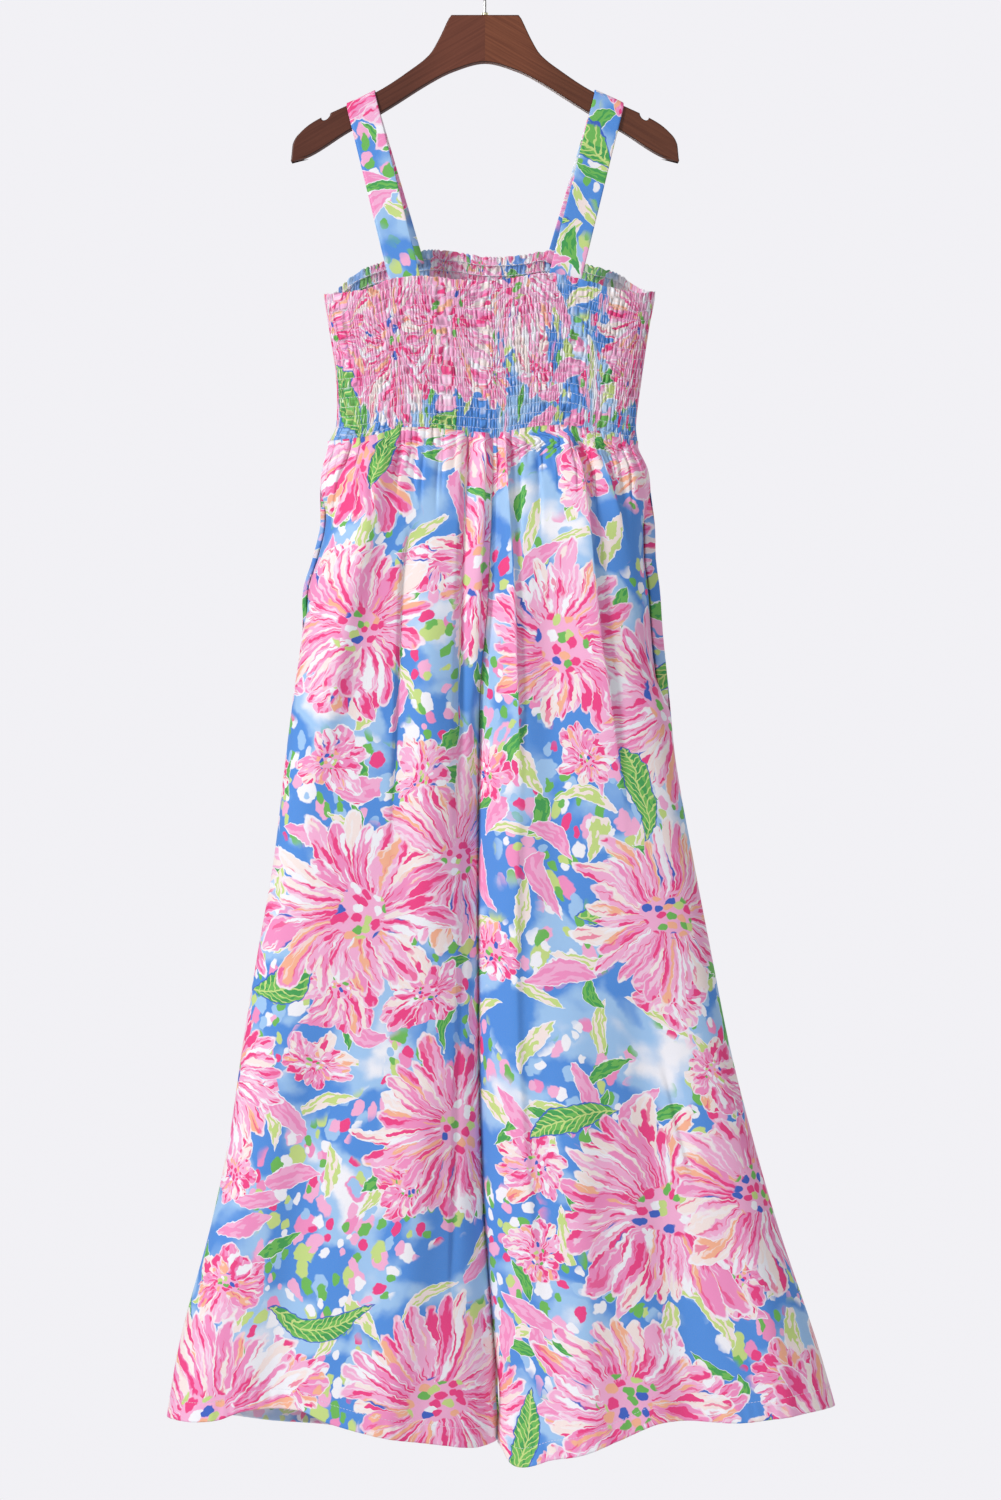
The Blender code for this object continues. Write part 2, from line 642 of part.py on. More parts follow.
def main():
    for item in list(bpy.data.objects):
        bpy.data.objects.remove(item, do_unlink=True)
    parts = collection("jumpsuit_on_hanger")
    cutters = collection("cutters")
    cloth, wood, steel, brass = (material(name) for name in COLOURS)
    bodice("bodice_front", FRONT, cloth, parts)
    bodice("bodice_back", BACK, cloth, parts)
    socket = hook_socket(cutters)
    for leg, hand in ((LEFT, "left"), (RIGHT, "right")):
        leg_panel(f"leg_{hand}_front", leg, FRONT, cloth, parts)
        leg_panel(f"leg_{hand}_back", leg, BACK, cloth, parts)
        pocket_bag(f"pocket_{hand}", leg, cloth, parts)
        strap(f"strap_{hand}", leg, cloth, parts)
        wood_half(f"hanger_arm_{hand}", leg, wood, socket, parts)
    hook("hanger_hook", steel, parts)
    collar("hook_collar", brass, parts)


main()
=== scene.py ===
"""The looks of a wide-leg jumpsuit with a shirred bodice, hung by its straps on a wooden hanger.

Metres, +Z up. The front of the garment faces -Y, and left and right are the wearer's, so left is +X.
The origin is the point inside the top of the hook where a rail carries it, and a drop is a distance below
that point. Tables are in millimetres, and MM turns them into metres. The first block of sizes and tables
is the construction's, repeated here so that the fine shells lie on the same form. Two of its tables differ
from it: the back's top edge is up to 4 mm lower, and the left pocket's mouth is 50 mm longer.
"""
import math

import bmesh
import bpy
import numpy as np
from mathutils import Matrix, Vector


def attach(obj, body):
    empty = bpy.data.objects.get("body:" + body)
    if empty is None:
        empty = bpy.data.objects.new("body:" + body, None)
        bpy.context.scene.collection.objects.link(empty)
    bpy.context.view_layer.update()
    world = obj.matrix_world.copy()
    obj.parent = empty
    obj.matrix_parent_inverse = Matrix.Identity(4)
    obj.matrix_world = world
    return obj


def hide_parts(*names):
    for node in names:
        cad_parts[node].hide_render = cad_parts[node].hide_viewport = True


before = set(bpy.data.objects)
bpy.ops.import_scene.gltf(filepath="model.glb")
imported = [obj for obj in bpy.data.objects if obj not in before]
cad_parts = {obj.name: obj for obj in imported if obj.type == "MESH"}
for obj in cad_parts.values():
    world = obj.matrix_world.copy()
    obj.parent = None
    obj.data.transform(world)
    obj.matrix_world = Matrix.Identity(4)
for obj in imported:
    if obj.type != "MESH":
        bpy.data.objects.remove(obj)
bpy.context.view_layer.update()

MM = 0.001
GAP = 0.0003                    # clearance between two pieces that touch
FRONT, BACK = -1, 1             # sign of y
RIGHT, LEFT = -1, 1             # sign of x
TURN = 2 * math.pi
HANDS = {RIGHT: "right", LEFT: "left"}
SIDES = {FRONT: "front", BACK: "back"}

# ---- The construction's sizes ----

HEADER = 0.009                  # frill above the first row of elastic
RIB_HEIGHT = 0.0019
ELASTIC_ROWS = {FRONT: 16, BACK: 18}
TOP_DROP = 0.335                # where the top edge's and the waist seam's x are read
WAIST_DROP = 0.487
BODICE_MIDDLE = 6               # x at which the elastic rows are spaced out, mm
BODICE_HALF_WIDTH = 0.160       # the section along which the puckers are spaced out
BODICE_HALF_DEPTH = 0.022
BODICE_WALL = 0.0015

CROTCH_DROP = 0.801
HEM_DROP = 1.461                # where the hem's x is read
LEG_WALL = 0.0018
SEAM_MARGIN = 1 / 7             # share of a panel's width over which its folds fade out at a seam
MOUTH_END = 1 / 5               # share of a pocket's mouth over which it draws in and returns

STRAP_THICKNESS = 0.0020
STRAP_TUCK = 0.014              # how far a strap's end reaches below the bodice's top edge
STRAP_LEVEL = 0.341             # drop of the bodice section that the straps are sewn into
STRAP_CLEARANCE = 0.0006        # from the bodice's inner side, beyond GAP
STRAP_SEWN = 0.10               # share of a strand that lies along the bodice
SLOPE_ALLOWANCE = 0.0005        # extra height over the hanger arm, whose top slopes across the strap

WOOD_DROP = 0.062
WOOD_THICKNESS = 0.013
WOOD_ROUNDING = 0.002           # of the strap's bend over the wood's edge
NOTCH_OUT = 0.159
NOTCH_RADIUS = 0.0045
HOOK_WIRE = 0.003
HOOK_RADIUS = 0.020             # to the middle of the wire
HOOK_SEAT = 0.018               # depth of the wire in the wood
HOOK_BEND_DROP = 0.048          # where the straight stem turns aside
HOOK_START, HOOK_END = 205, -25  # degrees round the hook's arc
HOOK_EASE = 0.021               # how gently the stem runs into the arc
COLLAR_DIAMETER = 0.0065
COLLAR_HEIGHT = 0.0028

WIDTH = {RIGHT: 1, LEFT: 2}     # columns of the two tables of sections
DEPTH = 3
# drop, half width on the wearer's right, half width on the left, half depth
BODICE_SECTIONS = (
    (290, 163, 171, 22),
    (341, 161, 170, 22),
    (375, 156, 164, 20),
    (423, 149, 157, 19),
    (472, 149, 151, 21),
    (493, 157, 153, 24),
)
LEG_SECTIONS = (
    (475, 156, 152, 24),
    (493, 157, 153, 24),
    (516, 163, 163, 29),
    (540, 165, 166, 32),
    (572, 165, 170, 34),
    (606, 173, 171, 35),
    (636, 182, 175, 35),
    (680, 183, 178, 34),
    (738, 191, 184, 33),
    (809, 200, 191, 32),
    (904, 211, 208, 32),
    (1003, 228, 227, 33),
    (1089, 242, 244, 35),
    (1185, 256, 268, 38),
    (1275, 275, 294, 41),
    (1382, 304, 330, 45),
    (1461, 318, 353, 48),
    (1510, 324, 366, 49),
)
# drop, x of the middle line between the legs
MIDDLE_LINE = ((290, 4), (486, 8), (646, 3), (746, -5), (1046, -7), (1246, -2), (1412, 10), (1510, 12))
# drop, how much of its full depth a panel still has at the middle line
MIDDLE_FULLNESS = ((475, 1.0), (495, 1.0), (530, 0.80), (650, 0.62), (740, 0.42), (801, 0.0))
# x, drop
TOP_EDGE = {
    FRONT: ((-163, 341), (-120, 338), (-93, 328), (-61, 325), (-30, 328), (6, 330), (33, 326), (62, 322),
            (91, 327), (125, 336), (154, 341), (172, 338)),
    BACK: ((-163, 341), (-126, 315), (-95, 303), (-58, 293), (-30, 295), (6, 300), (38, 298), (68, 294),
           (101, 307), (130, 316), (172, 338)),
}
WAIST_SEAM = {
    FRONT: ((-157, 493), (-112, 489), (-81, 481), (-15, 485), (6, 487), (45, 481), (82, 479), (106, 485),
            (153, 493)),
    BACK: ((-157, 493), (-100, 486), (0, 484), (100, 486), (153, 493)),
}
HEM = {
    (RIGHT, FRONT): ((-318, 1461), (-266, 1458), (-239, 1449), (-185, 1448), (-154, 1460), (-94, 1474),
                     (-45, 1482), (-11, 1487), (9, 1485)),
    (RIGHT, BACK): ((-318, 1461), (-270, 1466), (-215, 1476), (-140, 1484), (-94, 1492), (-30, 1492),
                    (9, 1485)),
    (LEFT, FRONT): ((13, 1487), (26, 1504), (40, 1506), (65, 1497), (93, 1491), (135, 1475), (176, 1460),
                    (252, 1460), (288, 1456), (350, 1450)),
    (LEFT, BACK): ((13, 1487), (60, 1494), (130, 1484), (210, 1470), (290, 1462), (350, 1450)),
}
# leg: drop of the mouth's top and bottom, how far the front panel stands back from the side seam
POCKET_MOUTH = {RIGHT: (530, 682, 5.5), LEFT: (530, 765, 12)}
# drop, width of the bag
BAG_SHAPE = ((530, 77), (590, 100), (633, 105), (674, 100), (722, 84), (770, 58))
# distance out from the middle, drop below the wood's top
WOOD_UPPER = ((33.5, 0), (36.5, 4), (45, 22), (55, 39), (76, 56), (105, 75), (137, 90), (170, 106),
              (184, 117), (192, 129), (194, 145))
WOOD_LOWER = ((0, 47), (31, 55), (55, 67), (98, 94), (133, 114), (194, 145))
# distance out of a strap's outer and inner edge, at the bodice and on the hanger
STRAP_AT_BODICE = (92.5, 61)
STRAP_AT_HANGER = (138, 109.5)

# ---- Cloth, finer than the construction's ----

LEG_COLUMNS = 144
LEG_ROWS = 98
GATHERED_ROWS = 46              # rows with twice the columns, where the cloth is gathered under the waist
GATHERED_HEIGHT = 0.115
HEM_ROWS = 15                   # extra rows, close together, where the hem is turned up
FINE_PLACES = 960               # places at which a row's own spacing of columns is worked out
CROWDING = 2.6                  # how many times closer the columns are on a sharp fold
SHARP = 6.5                     # half width of a flank under which a fold counts as sharp, mm
GATHER_CROWDING = 1.4           # how far a gather's depth counts where the columns are spaced out
CROWD_REACH = 2.2               # how far from a fold they are, in the fold's narrow half width
HEM_ROWS_START = 1.25           # height at which the hem's extra rows begin, in TURN_UP
BODICE_COLUMNS = 480
FINE_ANGLES = 4001              # places at which the length of the bodice's section is measured
BAND_WAYS = (0, 0.14, 0.38, 0.62, 0.86)  # rows of points from one elastic to the next
HEADER_ROWS = 6
CLOTH = 0.0006                  # thickness of the shells
THIN_CLOTH = 0.0004             # the same of the straps' and pocket bags' layers
TURN_UP = 0.019                 # height of the hem that is turned up and stitched
TURN_UP_RISE = 0.0005
TURN_UP_EDGE = 0.002            # drop over which its upper edge rises
HEM_ROPING = 0.0005             # height of the fine ripples along the hem
ROPES = 26                      # such ripples along one panel
ROPE_DRIFT = (1.2, 3)           # how far they stray, in ripples, and how often
ALLOWANCE = 0.006               # of the leg's top edge, up behind the bodice
ALLOWANCE_DEPTH = 0.0016
INNER_MARGIN = 0.035            # share of a panel's width over which its folds fade out at the middle seam
MARGIN_RUN = 0.1                # length above the crotch over which it widens to SEAM_MARGIN
PARTED = 0.0026                 # half the gap where the legs part above the hem
PARTED_PLACE = (1.388, 1.486)   # drops between which they part
OVERLAP = 0.0050                # how far the back half of the legs' inner edges lies to one side
OVERLAP_DEPTH = 0.005           # depth over which it moves there
OVERLAP_REACH = 0.035           # how far into each leg the overlap is felt
OVERLAP_RUN = 0.08

FACING = 0.018                  # width next to the side seam in which a bag's columns are close together
FACING_COLUMNS = 30
BAG_COLUMNS = 10
BAG_ROWS = 49
BAG_DEPTH = 0.0009              # of the bag's middle behind the garment's middle plane
BAG_SWELL = 0.0008              # how far each layer swells from there
FACING_AHEAD = 0.0016           # how far the facing stands forward at the mouth
CREVICE_DEPTH = 0.0055
CREVICE = {RIGHT: 0.0008, LEFT: 0.0013}  # half width of the dark line at the mouth
BAG_APART = 0.0012              # extra room between the bag's layers at the mouth

STRAND_POINTS = 40              # along one strand of a strap, up to the hanger's top
STRAND_END = 0.97               # share of a strand at which its bend over the wood begins
BEND_STEP = 15                  # degrees, over the wood's edge
STRAP_FACE_POINTS = 13
STRAP_EDGE_POINTS = 7
STRAP_SLACK = 0.0001            # by which the strap's tube is thinner than the construction's strip
STRAP_PINCH = 0.25              # share of its thickness that it loses in its middle
STRAP_WAVES = ((0.00025, 0.041), (0.0002, 0.017))  # height and length of the waves along it

PUCKERS = 104                   # across one bodice panel
PUCKER_FLOOR = -0.0006          # the deepest valleys go a little into the cloth's own line
PUCKER_AT_ELASTIC = 0.30        # share of a pucker's height on a row of elastic
PUCKER_SHARPNESS = 0.62         # under 1, the crests are broad and the valleys sharp
PUCKER_SLANT = 0.24             # how far a pucker leans from one elastic to the next, in puckers
PUCKER_STRENGTH = 0.80
FRILLS = 50                     # waves along the top edge
FRILL_HEIGHT = 0.0018
FRILL_EDGE = 0.0007             # height of the same waves in the edge's outline
# What is uneven along a bodice panel: waves from one side seam to the other, and how far they go
DRIFT = ((3, 7, 11), 1.1)       # of all puckers, in puckers
ROW_DRIFT = ((9, 17, 29), 0.24)  # of the puckers between two elastics, in puckers
ROW_STRENGTH = ((13, 31, 67), 0.24)
FRILL_DRIFT = ((5, 13), 0.9)
THREAD_DRIFT = ((9, 23, 41), 0.0016)  # of a row of stitches, in the bodice's height
BODICE_SEEDS = {FRONT: 11, BACK: 12}
SHIRRING = 1.95                 # flat width of the bodice's cloth over its gathered width
HIDDEN_PRINT = 0.80             # share of the gathered cloth's extra width that the valleys hide

# drop, flat width of a leg panel's cloth over its hung width
LEG_GATHERING = ((475, 1.08), (500, 1.07), (560, 1.05), (640, 1.02), (720, 1.0))
PRINT_SHIFT = {                 # where each panel's middle lies on the print, in metres
    "bodice_front": (0.64, 0.90), "bodice_back": (4.12, 0.32),
    "leg_right_front": (0.85, 0.10), "leg_left_front": (1.42, 0.31),
    "leg_right_back": (2.71, 1.20), "leg_left_back": (3.33, 0.84),
    "strap_right": (4.10, 0.33), "strap_left": (4.55, 1.41),
    "pocket_right": (5.02, 0.20), "pocket_left": (5.60, 0.70),
}

# panel: height, half width towards the wearer's right and left, lengths of rise and fall, how much of the
# print the fold hides, then the fold's route as drop and x
FOLDS = {
    (RIGHT, FRONT): (
        (9.0, 26, 15, 25, 190, 0,
         ((480, -103), (553, -113), (612, -126), (686, -141), (779, -160), (900, -183))),
        (-4.5, 2.5, 14, 50, 160, 12, ((560, -72), (613, -80), (694, -84), (791, -88), (930, -93))),
        (-6.5, 3.5, 8, 15, 200, 18, ((478, -17), (553, -20), (639, -24), (748, -26), (916, -28))),
        (-2.4, 2, 7, 150, 120, 0, ((860, -21), (1000, -24), (1146, -29), (1380, -34))),
        (5.0, 9, 3.2, 10, 150, 6, ((478, 1), (600, -2), (715, -7), (860, -13))),
        (-3.8, 2.5, 9, 15, 35, 6, ((484, -131), (529, -145), (557, -150), (600, -156))),
        (6.0, 20, 24, 150, 260, 0, ((560, -52), (760, -54), (1120, -55))),
        (9.0, 36, 24, 160, 100, 0, ((1060, -58), (1300, -76), (1560, -104))),
        (-9.0, 26, 34, 200, 120, 0, ((980, -150), (1250, -182), (1560, -218))),
        (4.0, 16, 18, 120, 90, 0, ((1180, -236), (1330, -262), (1560, -292))),
    ),
    (LEFT, FRONT): (
        (9.0, 24, 4.8, 15, 200, 14, ((476, 82), (520, 97), (618, 108), (694, 116), (737, 123), (900, 139))),
        (-3.0, 3, 6, 10, 150, 0, ((478, 13), (600, 9), (715, 4), (860, -1))),
        (6.5, 9, 3.2, 20, 120, 14, ((478, 20), (553, 24), (618, 28), (683, 31), (860, 35))),
        (4.5, 16, 6, 120, 180, 0, ((800, 34), (920, 31), (1092, 32), (1400, 52))),
        (4.5, 9, 3, 10, 60, 8, ((484, 109), (531, 125), (600, 141))),
        (-3.2, 2.5, 7, 8, 30, 0, ((490, 133), (527, 136), (566, 141))),
        (-5.0, 18, 20, 120, 220, 0, ((560, 58), (800, 66), (1060, 72))),
        (8.5, 28, 26, 180, 100, 0, ((990, 84), (1250, 92), (1560, 104))),
        (-9.0, 24, 34, 180, 100, 0, ((960, 150), (1250, 176), (1560, 208))),
        (-2.8, 3, 9, 50, 70, 0, ((1090, 176), (1160, 190), (1250, 209))),
        (4.0, 20, 14, 140, 90, 0, ((1200, 252), (1380, 284), (1560, 316))),
    ),
    (RIGHT, BACK): (
        (8.5, 13, 24, 25, 190, 0, ((478, -96), (560, -104), (680, -118), (900, -136))),
        (-5.5, 12, 5, 40, 150, 12, ((490, -58), (600, -62), (740, -66), (940, -70))),
        (5.0, 7, 12, 20, 120, 0, ((478, -20), (590, -24), (720, -27), (860, -28))),
        (-3.0, 9, 5, 12, 40, 6, ((480, -126), (530, -140), (590, -150))),
        (-7.0, 22, 26, 160, 200, 0, ((620, -84), (900, -92), (1180, -104))),
        (9.0, 34, 30, 180, 100, 0, ((1000, -118), (1260, -140), (1560, -172))),
        (-7.0, 28, 32, 160, 90, 0, ((1120, -210), (1320, -238), (1560, -268))),
    ),
    (LEFT, BACK): (
        (8.5, 24, 13, 20, 170, 0, ((478, 66), (560, 71), (700, 80), (860, 90))),
        (-5.0, 5, 13, 40, 170, 12, ((490, 110), (600, 117), (760, 126), (930, 136))),
        (-4.5, 6, 8, 25, 120, 8, ((484, 30), (600, 33), (800, 35))),
        (3.4, 5, 8, 10, 40, 0, ((482, 132), (530, 142), (580, 149))),
        (-7.0, 24, 24, 160, 200, 0, ((640, 60), (900, 66), (1160, 76))),
        (9.0, 30, 34, 180, 100, 0, ((1000, 116), (1260, 140), (1560, 176))),
        (-7.5, 30, 30, 160, 90, 0, ((1100, 212), (1320, 246), (1560, 280))),
    ),
}
TUCK_WIDTH = 0.0035             # over which a fold hides its share of the print

# panel: x at the waist seam, length, half width, depth of the gathers that stand out
GATHERS = {
    (RIGHT, FRONT): (
        (-118, 62, 1.9, 4.2), (-84, 30, 1.6, 3.9), (-67, 48, 1.8, 4.2),
        (-52, 20, 1.4, 3.1), (-40, 44, 1.8, 3.9), (-28, 26, 1.4, 3.2),
    ),
    (LEFT, FRONT): (
        (34, 78, 1.9, 4.5), (50, 74, 1.8, 4.2), (64, 30, 1.5, 3.2),
        (74, 22, 1.4, 3.2), (97, 52, 1.8, 3.9), (121, 26, 1.4, 3.1),
    ),
    (RIGHT, BACK): ((-112, 50, 1.8, 3.9), (-78, 66, 1.9, 4.2), (-40, 36, 1.6, 3.6)),
    (LEFT, BACK): ((22, 44, 1.8, 3.9), (52, 68, 1.9, 4.2), (96, 40, 1.6, 3.6)),
}
SMALL_GATHERS = {"spacing": (4.8, 9.5), "length": (12, 64), "half width": (0.9, 1.4), "depth": (2.4, 4.2)}
GATHERED = (12, 150)            # distances out from the middle between which the small ones lie, mm
GATHER_CLEAR = 3.6              # no small gather this near one that stands out, mm
GATHER_AT_SEAM = 0.75           # share of a gather's depth right under the waist seam
GATHER_SWELL = 0.008            # drop below the seam at which it is full
GATHER_FLANKS = (1.25, 0.30)    # widths of a gather's two flanks, in its half width: one of them is steep
GATHER_HIDES = 0.8              # how much of the print a gather hides, in its depth
GATHER_TUCK = 0.0014            # width over which it hides that
GATHER_REACH = 1.6              # how far down a gather goes, in its length
GATHER_LEAN = 0.05              # most that it leans, in its drop
CREASE = 1.25                   # under 2, a gather is a crease with a sharp floor
PUFF = 0.0028                   # how far the cloth swells between gathers
PUFF_FADE = 0.045

# Stitches
HEM_STITCH = (0.0026, 0.0007, 0.00022)  # length, gap to the next, half the thread's thickness
SHIRRING_STITCH = (0.0025, 0.0004, 0.00024)
ELASTIC_STITCH = (0.0064, 0.0002, 0.0004)
STITCH_LIFT = 0.0002            # height over the bodice's own line at which the stitches lie
ELASTIC_LIFT = -0.0013          # the same of the elastic on the inside
TACK_STITCH = (0.0042, 0.0004, 0.0003)
TACK_ROWS = 7                   # stitches one below the other in the bar tack at a mouth's end
TACK_STEP = 2.2                 # from one of them to the next, in half the thread's thickness
TACK_UP = 0.45                  # how far above the mouth's end they begin, in the length where it closes
TACK_PLACES = (0.0005, 0.080, 60)  # places across the panel among which their length is found
STITCH_FULL = (0.18, 0.82)      # shares of a stitch's length between which it is at its full thickness
HEM_STITCHED = (0.004, 0.996)   # ends of the hem's stitches across a panel
BODICE_NEAR = 0.004             # from a row of stitches to the rows that give the cloth's slope there, as a
LEG_NEAR = 0.002                # share of the bodice's height, and in metres on the legs

# Hanger
WOOD_TOP_POINTS = 90
WOOD_BOTTOM_POINTS = 48
NOTCH_POINTS = 14
WOOD_BEVEL = 0.0017
BEVEL_SEGMENTS = 4
SHARP_ANGLE = 60                # degrees, from which an edge of the wood isn't shaded smooth
JOINT = 0.00002                 # from the middle to each half of the wood
HOOK_NECK_POINTS = 12
HOOK_ARC_POINTS = 60
COLLAR_RIM = 0.0005             # radius of the collar's rims
COLLAR_RIM_POINTS = 5
COLLAR_STEPS = 64

# The set
CAMERA = (0.0155, -3.3333, -0.796)
LIT = (0, 0, -0.75)             # what the lights face
# name, place, diameter, watts
LIGHTS = (
    ("key", (-2.9, -2.3, 0.9), 0.9, 118),
    ("fill", (1.6, -3.4, -0.2), 2.4, 26),
    ("rear", (-0.8, 3.0, 0.4), 2.0, 60),
    ("rear_fill", (2.6, 2.0, 0.6), 1.8, 22),
)
FLOOR_DROP = 1.95
FLOOR_RADIUS = 1.7

# Colours, as light and not as screen values
SKY = (0.93, 0.94, 1.0, 1.0)
BACKDROP = (0.885, 0.878, 0.912, 1.0)
FLOOR_COLOUR = (0.80, 0.80, 0.82, 1.0)
BLEACHED = (0.80, 0.80, 0.84, 1.0)
WEAVE_SHADE = (0.45, 0.40, 0.46, 1.0)
THREAD_COLOUR = (0.86, 0.86, 0.94)
STEEL = (0.50, 0.49, 0.48)
BRASS = (0.70, 0.66, 0.45)
WOOD_COLOURS = {                # its dark and its light grain
    RIGHT: ((0.095, 0.027, 0.015, 1.0), (0.135, 0.041, 0.023, 1.0)),
    LEFT: ((0.105, 0.030, 0.014, 1.0), (0.170, 0.054, 0.025, 1.0)),
}
# colour of the painted shade on the wood's rounded edges
WOOD_EDGE_SHADE = (0.045, 0.017, 0.012, 1.0)
PAINT = {
    "pale pink": (0.93, 0.44, 0.67), "pink": (0.91, 0.29, 0.55), "hot pink": (0.88, 0.055, 0.24),
    "peach": (0.95, 0.46, 0.29), "cream": (0.94, 0.80, 0.76), "white": (0.92, 0.91, 0.95),
    "sky": (0.36, 0.58, 0.87), "blue": (0.085, 0.28, 0.73), "royal": (0.05, 0.13, 0.56),
    "green": (0.06, 0.36, 0.09), "leaf": (0.16, 0.50, 0.10), "lime": (0.58, 0.73, 0.24),
}

# Wood and print
NECK = (0.030, 0.085)           # distances out over which the wood goes from the neck's painted highlight to the arms' painted shade
# brightness of the wood's painted highlight at the neck and of its painted shade on the arms
NECK_PAINTED_LIGHT, ARM_PAINTED_LIGHT = 1.38, 0.93
GRAIN_SLOPE = -30               # degrees
RAGGED = 0.0050                 # how far the print's fine edges stray, in metres
WANDER = 0.030                  # the same of its whole motifs


# ---- Numbers ----

def smooth(table, at, column=1):
    """A smooth curve through one column of a table, read at values of its first column."""
    keys = np.array([row[0] for row in table], float)
    values = np.array([row[column] for row in table], float)
    slopes = np.zeros(len(keys))
    slopes[1:-1] = (values[2:] - values[:-2]) / (keys[2:] - keys[:-2])
    at = np.clip(at, keys[0], keys[-1])
    i = np.clip(np.searchsorted(keys, at, side="right") - 1, 0, len(keys) - 2)
    span = keys[i + 1] - keys[i]
    return eased(values[i], values[i + 1], slopes[i], slopes[i + 1], at - keys[i], span)


def sized(table, at, column=1):
    """The same for a table in millimetres, read and given in metres."""
    return smooth(table, at / MM, column) * MM


def eased(start, end, leaving, arriving, way, span):
    """A cubic from start to end with a slope at each, read partway along its span."""
    t = way / span
    return ((2 * t**3 - 3 * t**2 + 1) * start + (t**3 - 2 * t**2 + t) * span * leaving
            + (3 * t**2 - 2 * t**3) * end + (t**3 - t**2) * span * arriving)


def fade(t):
    """0 up to 0 and 1 from 1 on, smooth between."""
    t = np.clip(t, 0.0, 1.0)
    return t * t * (3 - 2 * t)


def between(pair, share):
    """The value this share of the way from a pair's first to its second."""
    return pair[0] + (pair[1] - pair[0]) * share


def roundness(angle):
    """Depth of a pillow-shaped section, 1 in its middle and 0 at its two seams."""
    return np.cos(angle) * np.sqrt(1 + np.sin(angle)**2)


def ripples(rng, at, waves, height):
    """A smooth uneven line: sines with this many waves along 0 to 1, each with a random start."""
    total = np.zeros_like(at)
    for count in waves:
        total += np.sin(TURN * (count * rng.uniform(0.85, 1.15) * at + rng.random()))
    return height * total / math.sqrt(len(waves))


def bell(away, below, above):
    """1 on a line, falling off on each side of it over its own width."""
    return np.exp(-(away / np.where(away < 0, below, above))**2)


# ---- Meshes ----

def cloth_sheet(name, strips, flip, finishes, thickness):
    """A thin shell with its outer face on rows of points.

    Each strip is its points and their places: two numbers on the print, and two more among the puckers
    of shirred cloth. A strip may have fewer columns than the one above it, which then has a whole number
    of them for each of its own.
    """
    faces, used, above = [], 0, None
    for points, _ in strips:
        rows, columns = points.shape[:2]
        index = used + np.arange(rows * columns).reshape(rows, columns)
        if above is not None:
            several = (len(above) - 1) // (columns - 1)
            for i in range(columns - 1):
                over = above[i * several:(i + 1) * several + 1]
                faces.append([index[0, i], index[0, i + 1], *over[::-1]])
        quads = np.stack([index[:-1, :-1], index[1:, :-1], index[1:, 1:], index[:-1, 1:]], -1)
        faces += quads.reshape(-1, 4).tolist()
        above = index[-1]
        used += rows * columns
    if flip:
        faces = [face[::-1] for face in faces]
    data = bpy.data.meshes.new(name)
    data.from_pydata(np.concatenate([points.reshape(-1, 3) for points, _ in strips]).tolist(), [], faces)
    places = np.concatenate([place.reshape(-1, place.shape[-1]) for _, place in strips])
    for i, layer_name in zip(range(0, places.shape[1], 2), ("print", "puckers")):
        layer = data.uv_layers.new(name=layer_name)
        layer.data.foreach_set("uv", places[np.concatenate(faces), i:i + 2].ravel())
    data.shade_smooth()
    made = piece(name, data, finishes)
    shell = made.modifiers.new("thickness", "SOLIDIFY")
    shell.thickness = thickness
    shell.offset = -1.0
    shell.material_offset = 1 if len(finishes) > 1 else 0
    return made


def piece(name, data, finishes):
    """An object of this mesh or curve, with these materials."""
    made = bpy.data.objects.new(name, data)
    for finish in finishes:
        data.materials.append(finish)
    bpy.context.scene.collection.objects.link(made)
    return made


def lengths_along(points):
    """Length along each row of points, from its first point."""
    steps = np.linalg.norm(np.diff(points, axis=1), axis=2)
    return np.concatenate([np.zeros((len(points), 1)), np.cumsum(steps, axis=1)], axis=1)


def middle_run(three_rows, side):
    """The middle one of three rows of points, and the surface's normals along it, facing away in y."""
    along = np.gradient(three_rows[1], axis=0)
    down = three_rows[2] - three_rows[0]
    normals = np.cross(down, along)
    normals /= np.linalg.norm(normals, axis=1)[:, None]
    facing = np.sign(normals[:, 1:2]) * side
    return three_rows[1], normals * np.where(facing == 0, 1, facing)


def stitches(name, runs, pattern, finish):
    """Short lengths of thread along runs of points and normals, joined in one mesh."""
    length, gap, half = pattern
    starts, ends, ups = [], [], []
    for points, normals in runs:
        way = np.concatenate([[0], np.cumsum(np.linalg.norm(np.diff(points, axis=0), axis=1))])
        count = int(way[-1] / (length + gap))
        first = (way[-1] - count * (length + gap) + gap) / 2 + np.arange(count) * (length + gap)
        for ways, into in ((first, starts), (first + length, ends)):
            into.append(np.stack([np.interp(ways, way, points[:, i]) for i in range(3)], -1))
        ups.append(np.stack([np.interp(first + length / 2, way, normals[:, i]) for i in range(3)], -1))
    starts, ends, ups = (np.concatenate(part) for part in (starts, ends, ups))
    ahead = ends - starts
    sideways = np.cross(ahead, ups)
    sideways *= half / np.linalg.norm(sideways, axis=1)[:, None]
    raised = ups * half
    rings = [starts]
    for share in STITCH_FULL:
        middle = starts + ahead * share + raised
        rings += [middle + raised, middle + sideways, middle - raised, middle - sideways]
    rings.append(ends)
    points = np.stack(rings, 1)
    faces = []
    for i in range(4):
        j = (i + 1) % 4
        faces += [(0, 1 + i, 1 + j), (9, 5 + j, 5 + i), (1 + i, 5 + i, 1 + j), (1 + j, 5 + i, 5 + j)]
    faces = np.array(faces)[None] + (np.arange(len(starts)) * len(rings))[:, None, None]
    data = bpy.data.meshes.new(name)
    data.from_pydata(points.reshape(-1, 3).tolist(), [], faces.reshape(-1, 3).tolist())
    data.shade_smooth()
    return piece(name, data, [finish])


# ---- Bodice ----

